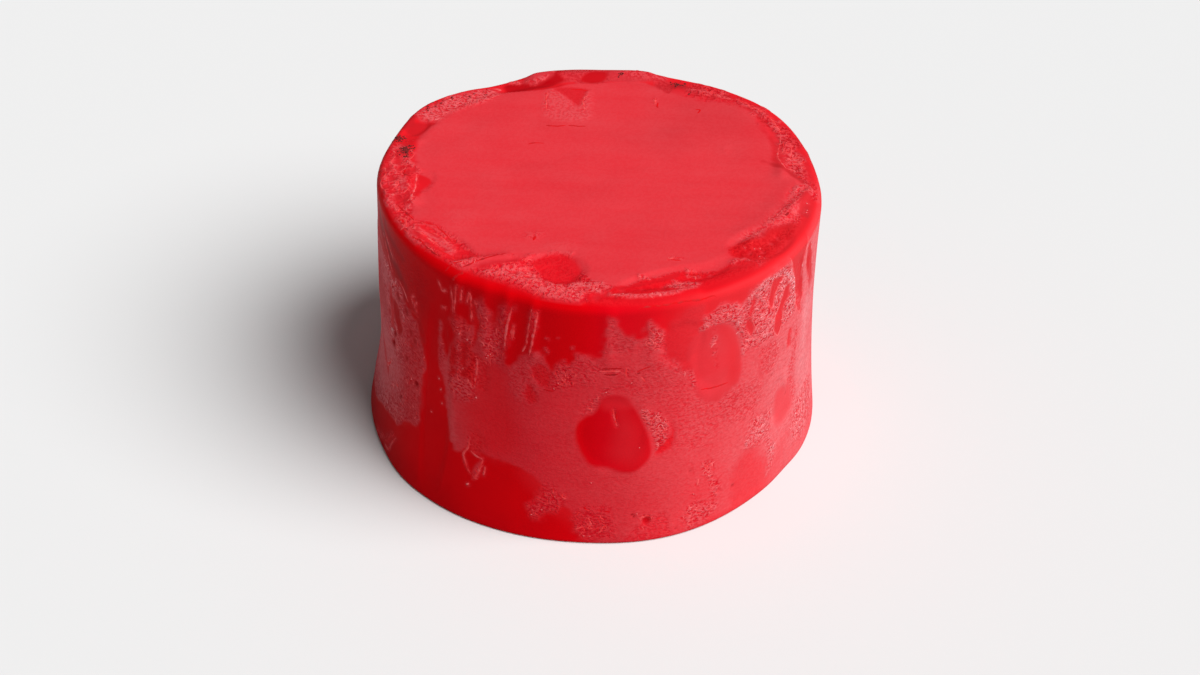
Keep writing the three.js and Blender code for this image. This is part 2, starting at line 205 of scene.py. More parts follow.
# The wall, from left to right as the front shows it: (bearing, height)
WALL_MARKS = [
    # The frost left of the bare column, with the dull veil over it. Much of the dark red of this
    # side, in the veil, the frost and the streaks, is painted shade away from the light.
    area(dict(VEIL, haze=0.04, dark=0.38), (-90, 69), (-70, 70), (-50, 69), (-46, 63), (-49, 56),
         (-60, 57), (-90, 60)),
    area(dict(FROST, dark=0.12), (-104, 56), (-90, 60), (-78, 60), (-70, 58), (-60, 54.5),
         (-53, 52), (-50, 50), (-48, 44), (-46.8, 40), (-47.5, 35), (-47.8, 28), (-48, 20),
         (-54, 17.5), (-57, 13.5), (-61, 13), (-70, 10.5), (-82, 8), (-104, 11), (-110, 35)),
    line(dict(NET, haze=0.4, soft=1.0, dark=0.1), 0.8, (-69, 2.5), (-64, 3.5), (-60, 8),
         (-58.5, 9.5)),
    area(dict(SMOOTH, haze=1.35, dark=0.08, soft=3), (-90, 38), (-72, 38), (-66, 36), (-58, 31),
         (-60, 21), (-80, 14), (-90, 20)),
    area(dict(SMOOTH, haze=1.3, dark=0.1, soft=2), (-80, 59.5), (-72, 58), (-66, 55), (-66, 50),
         (-72, 51), (-80, 54)),
    area(dict(SMOOTH, haze=0.75, dark=0.3, soft=2.5), (-90, 51), (-76, 50), (-70, 47),
         (-68, 42), (-76, 40), (-90, 42)),
    area(dict(FROST, haze=0.8, dark=0.15, soft=2), (-56, 49), (-50, 48), (-48, 40), (-48.5, 22),
         (-53, 20), (-55, 30), (-53, 40)),
    line(dict(NET, haze=1.3), 1.6, (-70, 57.5), (-66, 55), (-62, 54.5), (-59, 55)),
    line(dict(SHADE, dark=0.7), 1.7, (-76, 67.5), (-71, 64.8), (-66, 63), (-61, 60.5),
         (-57, 58)),
    line(dict(SHADE, dark=0.6), 0.9, (-70, 69), (-64, 67.3), (-58, 66)),
    line(dict(SMOOTH, haze=0.6, dark=0.2), 0.5, (-78, 64.5), (-73, 62), (-70, 60)),
    line(dict(SMOOTH, haze=0.35, dark=0.2), 0.3, (-70, 67), (-66, 65.5), (-62, 62.8)),
    line(FAINT_RIDGE_HIGHLIGHT, 0.25, (-72, 65.5), (-67.5, 61), (-64.5, 57.5)),
    line(FAINT_RIDGE_HIGHLIGHT, 0.2, (-69.5, 66.5), (-66, 64), (-64, 62.3)),
    line(FAINT_RIDGE_HIGHLIGHT, 0.25, (-60, 58), (-57, 56.3), (-55, 54.5)),
    line(SHADE, 0.9, (-58, 58), (-54, 54), (-50, 52), (-48.5, 47)),
    area(dict(BARE, dark=0.45, soft=0.6, ragged=0.8), (-63, 50.5), (-60, 49), (-58, 43.5),
         (-59.5, 41), (-61.5, 43.5), (-63.5, 46.5)),
    *spots(dict(SHADE, dark=0.6, soft=0.6, ragged=0.4), 1.4, (-65, 48.5), (-62.3, 40),
           (-63.2, 36.4), (-60.5, 53)),
    *spots(dict(SHADE, haze=0.2, dark=0.5, soft=0.5, ragged=0.4), 0.9, (-56, 51), (-53.5, 46),
           (-51.5, 44.5), (-55, 37), (-52.5, 42), (-57, 54.5), (-66.5, 44)),
    *spots(dict(NET, haze=1.7, soft=0.5), 1.2, (-64.2, 54.2), (-61.3, 55.3), (-57.3, 49),
           (-64, 38.3)),
    line(dict(NET, haze=1.25, soft=0.5), 0.5, (-70, 24.5), (-66.5, 26.5), (-64.5, 29.5)),
    line(dict(SHADE, dark=0.2), 0.6, (-66, 51), (-64.5, 46), (-64, 42)),
    line(dict(SHADE, dark=0.2), 0.5, (-75, 30), (-70, 26), (-67, 24)),
    line(RIDGE_HIGHLIGHT, 0.35, (-64.5, 53.5), (-63, 55), (-61.5, 55.5)),
    line(FAINT_RIDGE_HIGHLIGHT, 0.35, (-60, 53.5), (-58.5, 54.3)),
    *lines(FAINT_RIDGE_HIGHLIGHT, 0.3, ((-52.5, 55.5), (-53.2, 57), (-52, 58.3)),
           ((-50.9, 54), (-51.8, 55.3), (-50.8, 57))),
    line(SHALLOW_CREASE_SHADE, 0.5, (-54.5, 52.8), (-52, 53), (-50, 52.5)),
    line(FAINT_RIDGE_HIGHLIGHT, 0.5, (-68.5, 25), (-66, 27), (-64.8, 29)),
    *lines(FAINT_RIDGE_HIGHLIGHT, 0.4, ((-63, 22.3), (-61.5, 23.3)), ((-60, 24.5), (-58.8, 25)),
           ((-62.5, 2.5), (-60, 3), (-58.5, 6.5), (-57, 9))),
    line(SHALLOW_CREASE_SHADE, 0.3, (-53.5, 42), (-51.2, 42)),
    *spots(PIT, 0.6, (-62.3, 40), (-63, 36.4), (-57, 23)),
    *spots(PIT, 0.8, (-50, 32)),
    *spots(SPECK, 0.4, (-57.2, 49), (-52, 32.2), (-63.4, 54.6)),
    # The bare column, with its few pale spots and the finger of frost beside it
    *spots(SPECK, 0.35, (-41.8, 38.3), (-41, 35.3), (-40.3, 31.3), (-43.8, 26.6)),
    *lines(FAINT_RIDGE_HIGHLIGHT, 0.3, ((-41.3, 60.7), (-40, 61.2)), ((-42.5, 68), (-41.3, 66), (-40, 66.5))),
    area(FROST, (-42.4, 56), (-41.2, 55), (-40.9, 50), (-39.3, 45), (-39.8, 40.5), (-41.2, 41),
         (-42.3, 45), (-42.6, 50)),
    line(SMOOTH, 0.7, (-40.1, 41), (-39, 36.5), (-38.2, 31)),
    # The broad frost of the front and the right side, with its peaks along the top
    area(dict(SMOOTH, haze=0.5, soft=5.0), (-16, 24), (-12, 15), (-5, 9), (2, 2), (10, -6),
         (40, -6), (40, 30), (0, 30)),
    area(SMOOTH, (-40, 43), (-39, 48), (-37, 54), (-33, 59), (-31.5, 60), (-31, 65), (-29, 67.5),
         (-27.3, 64), (-26.2, 59), (-24, 58), (-23, 55), (-22, 51), (-20, 52.5), (-17.5, 55.5),
         (-13.5, 57.3), (-10.8, 54), (-9.5, 52), (-8, 53), (-5.3, 55.5), (-4.3, 59), (-2, 58),
         (1.8, 58.3), (2.4, 62), (2.9, 67), (3.8, 69.7), (5, 68), (6.5, 65.5), (9, 63.3),
         (12, 63.5), (12.6, 67), (12.9, 69), (14, 67.5), (16, 65), (17, 62), (17.5, 58),
         (20, 56), (21, 53.5), (23, 51.5), (25, 51), (25.5, 58), (26.3, 63.5), (29, 66.7),
         (32, 68.5), (36, 67), (40, 68.5), (46, 71), (53, 72), (62, 73.5), (80, 75), (112, 74),
         (118, 30), (112, -8), (10, -8), (2, 3), (-4, 10), (-9, 16), (-15, 20.5), (-21, 21.5),
         (-28, 22), (-31, 22.5), (-33, 20.5), (-35.2, 19.5), (-37, 24), (-38.3, 30),
         (-39.5, 37)),
    # The left half of it: drips, the pocket they leave and the creases in it
    area(dict(SMOOTH, haze=0.6, soft=4), (-32, 50), (-24, 50), (-21, 42), (-18, 30), (-21, 23),
         (-31, 24), (-34, 33)),
    line(dict(SMOOTH, haze=1.4), 1.1, (-39.5, 44), (-38.5, 38), (-37, 30), (-35.8, 22)),
    area(dict(NET, haze=1.45, grain=0.35), (-20, 52), (-17.5, 55.5), (-13.5, 57), (-11, 53.5),
         (-12, 48), (-15, 43), (-19, 42), (-21, 47)),
    area(dict(NET, haze=1.05, grain=0.5), (-30.5, 58), (-30.5, 65), (-29, 67.5), (-27.3, 64),
         (-26.5, 59), (-28, 54), (-30, 54)),
    area(dict(NET, haze=0.2, dark=0.2, soft=0.7), (-37.8, 41.5), (-38.4, 47), (-37, 52.5),
         (-33.5, 53.8), (-31, 52.5), (-30.8, 42.5), (-33.5, 41)),
    *spots(dict(NET, haze=1.4, soft=0.5), 0.9, (-35.6, 55.4), (-33.4, 54.3), (-36.4, 51.2),
           (-34.6, 45.5), (-36.8, 44.5), (-35.5, 42.3)),
    line(NET, 0.4, (-35.6, 53), (-35.9, 48), (-35.2, 43)),
    line(dict(NET, haze=0.9), 0.4, (-33, 52), (-33.3, 46)),
    line(dict(SHADE, dark=0.25), 0.5, (-34.3, 60), (-34, 52), (-34.3, 43)),
    line(dict(SHADE, dark=0.25), 0.4, (-37, 57), (-37.3, 50), (-37, 43)),
    area(dict(NET, haze=0.7, dark=0.15), (-37.5, 60), (-33, 59), (-32.5, 55), (-35, 53.5),
         (-37.8, 56)),
    area(NET, (-38, 36.5), (-37.5, 40), (-35, 42), (-32.5, 42), (-31, 39), (-34, 36)),
    area(ROUGH_BARE, (-31.3, 65), (-31.6, 58), (-31, 54), (-30.4, 60)),
    area(THIN, (-30, 50), (-27.5, 50), (-27, 41), (-30.2, 41)),
    area(NET, (-27.5, 60), (-24, 61), (-22.8, 57), (-23, 51), (-26, 50), (-29, 51)),
    line(NET, 0.7, (-24.8, 57), (-24, 60), (-23.7, 63), (-23.4, 66)),
    line(RIDGE_HIGHLIGHT, 0.28, (-22.7, 56.5), (-22.4, 61), (-21.8, 65), (-20.9, 68.8)),
    line(NET, 0.9, (-22.7, 67.5), (-21.4, 68.3)),
    line(FAINT_RIDGE_HIGHLIGHT, 0.5, (-20.9, 59.5), (-20.5, 63.5)),
    *lines(RIDGE_HIGHLIGHT, 0.28, ((-17.9, 56.5), (-17, 59), (-16.6, 63), (-16.1, 67), (-15.7, 70)),
           ((-16, 56), (-15.6, 59), (-15, 63), (-14.4, 67), (-14.2, 69.5))),
    line(NET, 0.5, (-15.8, 64), (-15.3, 68.5)),
    *lines(FAINT_RIDGE_HIGHLIGHT, 0.25, ((-38.3, 68), (-37.7, 65), (-37.6, 61.5)),
           ((-36.5, 69.3), (-36.8, 66), (-37.1, 61.5)), ((-35, 69), (-35.3, 65.5))),
    line(FAINT_RIDGE_HIGHLIGHT, 0.3, (-33.6, 65.5), (-33, 68.8), (-32.4, 65), (-32.2, 60.5)),
    line(FAINT_RIDGE_HIGHLIGHT, 0.4, (-31.4, 66.7), (-30.6, 65.8)),
    line(FAINT_RIDGE_HIGHLIGHT, 0.25, (-30.4, 50), (-30.4, 45), (-30.7, 41)),
    area(THIN, (-14.5, 53.5), (-12.2, 54), (-10.3, 52), (-10.5, 48.3), (-13, 47.8), (-15, 50)),
    area(THIN, (-16.5, 47), (-14.5, 46), (-14.5, 42.5), (-17, 43)),
    area(NET, (-10, 54), (-5.5, 55), (-5, 49), (-9.5, 48)),
    line(CREASE_SHADE, 0.22, (-12.2, 46.6), (-9.5, 46.6)),
    *spots(SPECK, 0.45, (-35.5, 55.6), (-33.3, 54.5), (-27.2, 52), (-30.1, 38)),
    *spots(SPECK, 0.3, (-34.3, 45.2), (-9.5, 47.5), (-8.5, 49.3), (-27.6, 51.2), (-26.6, 52.6)),
    line(dict(NET, haze=1.2, soft=0.4, ragged=0.3), 0.3, (-12, 62.2), (-11, 61.8)),
    *spots(dict(NET, haze=1.3, soft=0.4, ragged=0.3), 0.4, (-9, 62.8), (-5.4, 60.5),
           (-7.2, 56.2)),
    line(dict(NET, haze=1.2, soft=0.4, ragged=0.3), 0.3, (-12, 59.2), (-11.2, 58)),
    # Below it: the dark pit, the loop left by a drop, and the small patch near the foot
    *spots(PIT, 1.0, (-29, 25.3)),
    area(THIN, (-31, 27), (-28, 27.5), (-27, 24), (-28.5, 21), (-31, 22)),
    area(SMOOTH, (-28.8, 18), (-27.2, 19.5), (-27.5, 16), (-28.6, 13), (-29.7, 14)),
    line(FAINT_RIDGE_HIGHLIGHT, 0.3, (-31.3, 25), (-31.2, 22.3), (-32.4, 19.6), (-31.4, 16.5), (-30, 14.4)),
    line(RIDGE_HIGHLIGHT, 0.28, (-30.5, 21.2), (-28.7, 20.3), (-27, 20.2)),
    line(FAINT_RIDGE_HIGHLIGHT, 0.3, (-27, 20), (-27.6, 17), (-28.6, 14), (-29.2, 13.2)),
    line(FAINT_RIDGE_HIGHLIGHT, 0.25, (-26.2, 18), (-26.5, 15.3)),
    *spots(SPECK, 0.55, (-30.5, 11)),
    area(dict(NET, haze=0.9), (-14.5, 10), (-11.5, 15), (-8.5, 16.3), (-6, 13.5), (-8, 10),
         (-11, 7), (-14, 6.8)),
    *spots(SPECK, 0.35, (-13.5, 7.5), (-11, 9.5)),
    # The frost over the middle, with its creases and crystals
    area(NET, (12.5, 62), (12.8, 68.5), (14, 67.5), (16.5, 65), (17, 59.5), (14, 60)),
    area(dict(NET, grain=0.4), (-4.5, 58), (1.5, 57.5), (1, 51), (-4.5, 50)),
    area(dict(NET, grain=0.3, dark=0.2, rise=-0.08), (2.8, 60), (3.6, 69), (6, 66), (8.5, 63.5),
         (9, 60)),
    area(dict(NET, haze=1.05, grain=0.3, soft=2.5, dark=-0.08), (20, 46), (34, 40), (34, 30),
         (26, 26), (21, 30), (21, 38)),
    area(dict(NET, haze=1.2), (-3, 40.5), (1, 46), (3.5, 49.5), (4.5, 47.3), (1.5, 43.5),
         (0, 40.7)),
    area(THIN, (17, 62), (19.5, 58.5), (18, 57), (16, 60)),
    *lines(CREASE_SHADE, 0.22, ((1.7, 54.8), (6.8, 54.9)), ((2.5, 53), (6, 53))),
    *lines(FAINT_RIDGE_HIGHLIGHT, 0.25, ((1.5, 54), (6.5, 54)), ((7.8, 55), (7.9, 52.5))),
    line(CREASE_SHADE, 0.2, (10.5, 53.2), (11.5, 53.2)),
    line(SHALLOW_CREASE_SHADE, 0.18, (10.5, 53.7), (12, 54.4), (13.8, 55)),
    line(FAINT_RIDGE_HIGHLIGHT, 0.25, (11.5, 52), (12.6, 50.3)),
    area(dict(NET, haze=0.9, grain=0.3, soft=2), (6, 52), (17, 57), (21, 53), (25, 48),
         (22, 42), (14, 44), (8, 48)),
    line(dict(NET, haze=1.4, soft=0.6), 0.8, (17, 59), (19.5, 56.5), (22, 53), (25, 50.5)),
    line(dict(NET, haze=1.3, soft=0.6), 0.7, (25, 49), (26, 45), (28, 41)),
    *spots(SPECK, 0.3, (0.6, 19.5), (3.2, 47.6), (12, 30), (9.3, 50.3)),
    *spots(PIT, 0.35, (25.5, 19.6)),
    # The first bare drop, with the crust of crystals on its right
    area(dict(SMOOTH, rise=0.3, soft=2.5), *FIRST_DROP),
    area(dict(BARE, dark=0.16, soft=0.7, rise=0.3), *FIRST_DROP),
    area(dict(BARE, haze=0.22, dark=0.13, soft=3, rise=0.3), (7, 42), (11, 36), (12.5, 29),
         (10, 25.5), (5, 28), (6, 36)),
    area(dict(BARE, haze=0.3, dark=0.02, soft=1.4, rise=0.3), (2.5, 46), (8, 46), (9.5, 42.5),
         (3, 42)),
    area(CRUST, (12, 41), (15, 41.2), (18, 38.8), (19.2, 36), (19.2, 33), (18, 30),
         (16.2, 28.3), (15.3, 31), (14.4, 35)),
    area(ROUGH_BARE, (19.3, 36.5), (20.6, 36), (21.3, 32.5), (20, 29.5), (17, 27.7), (16, 28.3),
         (18.6, 30.3), (19.8, 33.3)),
    line(FAINT_RIDGE_HIGHLIGHT, 0.22, (5.2, 42), (5.5, 39.5), (6.3, 37)),
    line(SHALLOW_CREASE_SHADE, 0.22, (5.8, 41.5), (6.1, 39)),
    # The second bare drop, with the pale crystals round its shoulder
    area(dict(ROUGH_BARE, haze=0.2, grain=0.1, dark=0.06, rise=0.15, soft=1.3), (17.5, 57.5),
         (17.5, 66), (21, 70), (27, 70.5), (26.5, 64), (27, 56), (25.8, 51.8), (22.5, 52.2),
         (20.5, 54.7)),
    area(dict(CRUST, haze=1.6, grain=0.65, dark=-0.1), (26, 62.5), (27, 66), (29.5, 68),
         (32.5, 69), (35, 67.5), (38.5, 67), (40, 62), (40.3, 56), (41, 51.5), (39.4, 51),
         (37.5, 59), (34, 62.8), (30, 62.8)),
    area(dict(BARE, haze=0.35, dark=0.06, rise=0.22), *SECOND_DROP),
    area(dict(BARE, haze=0.5, soft=1.2, rise=0.22), (26, 47), (30, 48), (31, 42), (29.5, 40),
         (27, 42.5)),
    area(dict(BARE, haze=0.12, dark=0.08, soft=2, rise=0.22), (32, 62), (35.5, 60), (38.5, 53),
         (38.5, 44), (35.5, 44), (35, 54)),
    line(SHALLOW_CREASE_SHADE, 0.2, (27.5, 44.8), (31, 44), (35.5, 44)),
    line(dict(SHADE, haze=0.35, grain=0.4, dark=0.1, soft=1, rise=0.22), 0.7, (30.5, 61), (31, 56),
         (32, 50)),
    *spots(dict(NET, haze=1.3, soft=0.5, rise=0.22), 0.6, (30.6, 59.4), (32.2, 56.8),
           (30.8, 54.2), (32.5, 52.6), (31.5, 50.8), (30.2, 57.5), (31.6, 55.4)),
    # The crystals, gashes and teeth of the right side
    area(NET, (40.5, 52), (40, 61), (39, 67), (43, 70), (48, 71.5), (53, 71.5), (58, 68.5),
         (61, 62), (63, 55), (58, 52), (50, 51)),
    line(CRUST, 0.9, (43, 68), (47, 70.3), (51, 70.5), (55, 68.6), (58, 65.5), (59.5, 62)),
    area(RIMMED, (40.8, 61.3), (42.2, 60.3), (43.3, 57.5), (42.4, 55.5), (41.2, 57),
         (40.2, 59.5)),
    area(ROUGH_BARE, (42.2, 67.5), (43.2, 66.5), (42.5, 63.5), (41.3, 62.5), (41.5, 65)),
    area(RIMMED, (48.4, 66), (49.4, 69.3), (52, 68.8), (54.5, 67.5), (52.2, 65.5), (51, 63),
         (50.2, 60.5), (48.7, 61.3), (48, 63.5)),
    area(RIMMED, (56, 63.7), (57.4, 64), (57.4, 60.5), (55.2, 57.5), (54.9, 52.5), (53.6, 49.8),
         (52.4, 50.8), (51.3, 53.5), (51.7, 56), (54, 59)),
    area(RIMMED, (55.5, 77), (57.5, 70), (59.8, 64.5), (61, 60.5), (62.4, 57), (63, 53.5),
         (65.6, 49.8), (66, 54.2), (67.7, 55), (67, 58), (65.3, 62), (65, 67), (66.5, 70),
         (68, 77)),
    line(dict(THIN, haze=0.3), 0.6, (63.3, 57), (64.3, 53.5), (66, 50)),
    area(RIMMED, (67.5, 69), (69.5, 70), (72.4, 64), (74.6, 57), (76.8, 53), (75.8, 49.8),
         (72.8, 51.5), (70.4, 59), (68.3, 64.5)),
    area(dict(THIN, haze=0.65), (46, 49), (50, 50.3), (54, 48), (54.5, 42), (51, 39.5), (47, 42)),
    area(ROUGH_BARE, (59.2, 48.4), (60.6, 48.2), (61, 46), (60.2, 42.8), (58.9, 42.3),
         (58.7, 45.6)),
    area(dict(THIN, haze=0.6), (63, 45.5), (65, 45), (64.8, 37), (64, 31), (66, 25),
         (64.5, 21), (61.5, 27), (60.7, 33), (61.7, 39)),
    area(dict(BARE, haze=0.4, soft=1.6), (55, 29.5), (58.5, 30.5), (61.5, 28), (63.5, 24),
         (63.7, 21), (61, 18.5), (57, 18.3), (54.8, 21.5)),
    area(dict(BARE, haze=0.35, grain=0.12, soft=2.6, ragged=1.2), (37.5, 2), (38.5, 12),
         (41, 17), (44, 18.7), (47, 17), (49, 13), (51.5, 10.5), (53.5, 8), (54, 2), (48, -3),
         (40, -3)),
    area(dict(SMOOTH, haze=0.3, soft=1.5), (24, -8), (60, -8), (60, 1.5), (50, 2.5), (40, 2),
         (28, 1.2)),
    area(dict(SMOOTH, haze=1.25, soft=3), (67, 14), (66, 24), (67, 40), (70, 52), (88, 52),
         (92, 20), (84, 14)),
    area(dict(SMOOTH, haze=0.65, soft=3), (55, -8), (92, -8), (92, 9), (75, 9), (66, 13), (60, 14),
         (55, 10)),
    area(dict(NET, haze=0.95, grain=0.35), (35, 41), (44, 41), (48, 36), (46, 29.5), (38, 30),
         (34, 35)),
    area(dict(NET, grain=0.5), (44, 27), (50, 27), (50.5, 19), (45, 18.5), (42.5, 21)),
    line(dict(NET, haze=0.95, grain=0.5), 0.9, (52, 26), (51, 18), (54, 12), (53, 6)),
    line(dict(SHADE, haze=0.5, dark=0.12, soft=0.6), 0.4, (46, 47), (46.3, 43), (48.5, 39)),
    area(dict(NET, haze=0.8, grain=0.5, soft=2), (64, 9), (66, 20), (78, 20), (80, 8), (72, 5)),
    *spots(dict(NET, haze=1.5), 0.9, (47, 22.3), (48.5, 21), (43.2, 20.7), (53.4, 12.4)),
    *spots(SPECK, 0.4, (53.6, 12.4), (53.7, 6.8)),
    *spots(PIT, 0.4, (38.7, 9.1)),
    *spots(PIT, 0.3, (41.5, 29.4), (60, 27), (52, 38)),
    # Along the foot of the front
    area(dict(NET, haze=0.75, grain=0.5), (-3.5, 3.5), (-2, 11), (3, 11.5), (6, 10), (6, 3),
         (1, 1.5)),
    area(dict(NET, haze=1.2), (24.5, 2), (25, 8.5), (29, 9), (31, 4), (29, 1.5)),
    line(NET, 1.3, (30, 20), (31.5, 15), (33, 10), (31, 4)),
    area(dict(THIN, haze=0.6), (16, 8), (19, 8), (20, 1), (10, 0), (11, 4)),
    line(FAINT_RIDGE_HIGHLIGHT, 0.25, (30.4, 18), (30.3, 19.4), (31.3, 20), (32, 18.7)),
    *lines(FAINT_RIDGE_HIGHLIGHT, 0.3, ((27.3, 14.6), (27.9, 15.3), (27.8, 16.3)),
           ((12.7, 7), (13.2, 8), (14.7, 8.3), (15.7, 7.4))),
    *spots(dict(PIT, dark=0.3), 1.1, (14.3, 6.8)),
    line(SHALLOW_CREASE_SHADE, 0.3, (-1, 12), (-0.5, 11)),
    line(CREASE_SHADE, 0.25, (4, 10.6), (5.6, 10.4)),
    *lines(FAINT_RIDGE_HIGHLIGHT, 0.25, ((0.2, 8.5), (1, 6.5), (0.6, 6)),
           ((-2.6, 4.6), (-1, 5.5), (-0.5, 4)), ((3.2, 3.8), (3.8, 5.7), (4.6, 5.6))),
    *spots(SPECK, 0.3, (-0.6, 2.7), (0.8, 2.6), (12, 9.3), (26.6, 12), (27.6, 14.8)),
    *spots(PIT, 0.25, (10.7, 9), (11.3, 8.4), (28, 8.4), (22, 2.6)),
]

# The top, round from the back left: (x, y)
PLATE_OUTLINE = (
    (0, -49), (5, -50), (8, -48.5), (11, -46), (15, -44.5), (20, -41.7), (26, -41.3),
    (31, -39.3), (35, -35.7), (33.3, -33.8), (32.8, -31.5), (35, -28.7), (39, -26.5), (41, -25),
    (44, -21), (49, -18), (51, -12), (54, -3), (55.3, 0), (53, 3), (50, 7), (46, 12),
    (46.3, 20), (45, 25), (43, 30), (42.5, 36), (40, 39.5), (36, 42), (30, 43.5), (24, 45),
    (18, 47.5), (10, 53), (0, 51.5), (-8, 50.5), (-15, 46.5), (-24, 44.7), (-31, 43), (-37, 36),
    (-43, 31), (-46, 26.5), (-48.5, 21), (-50, 15), (-50.3, 5), (-49, 0), (-45, -6),
    (-48.3, -15), (-48.5, -20), (-47, -25), (-42.5, -25.5), (-36, -31.5), (-30, -39),
    (-23, -38.5), (-16, -39.5), (-12, -37), (-8, -36.8), (-5, -41), (-3.5, -45),
)
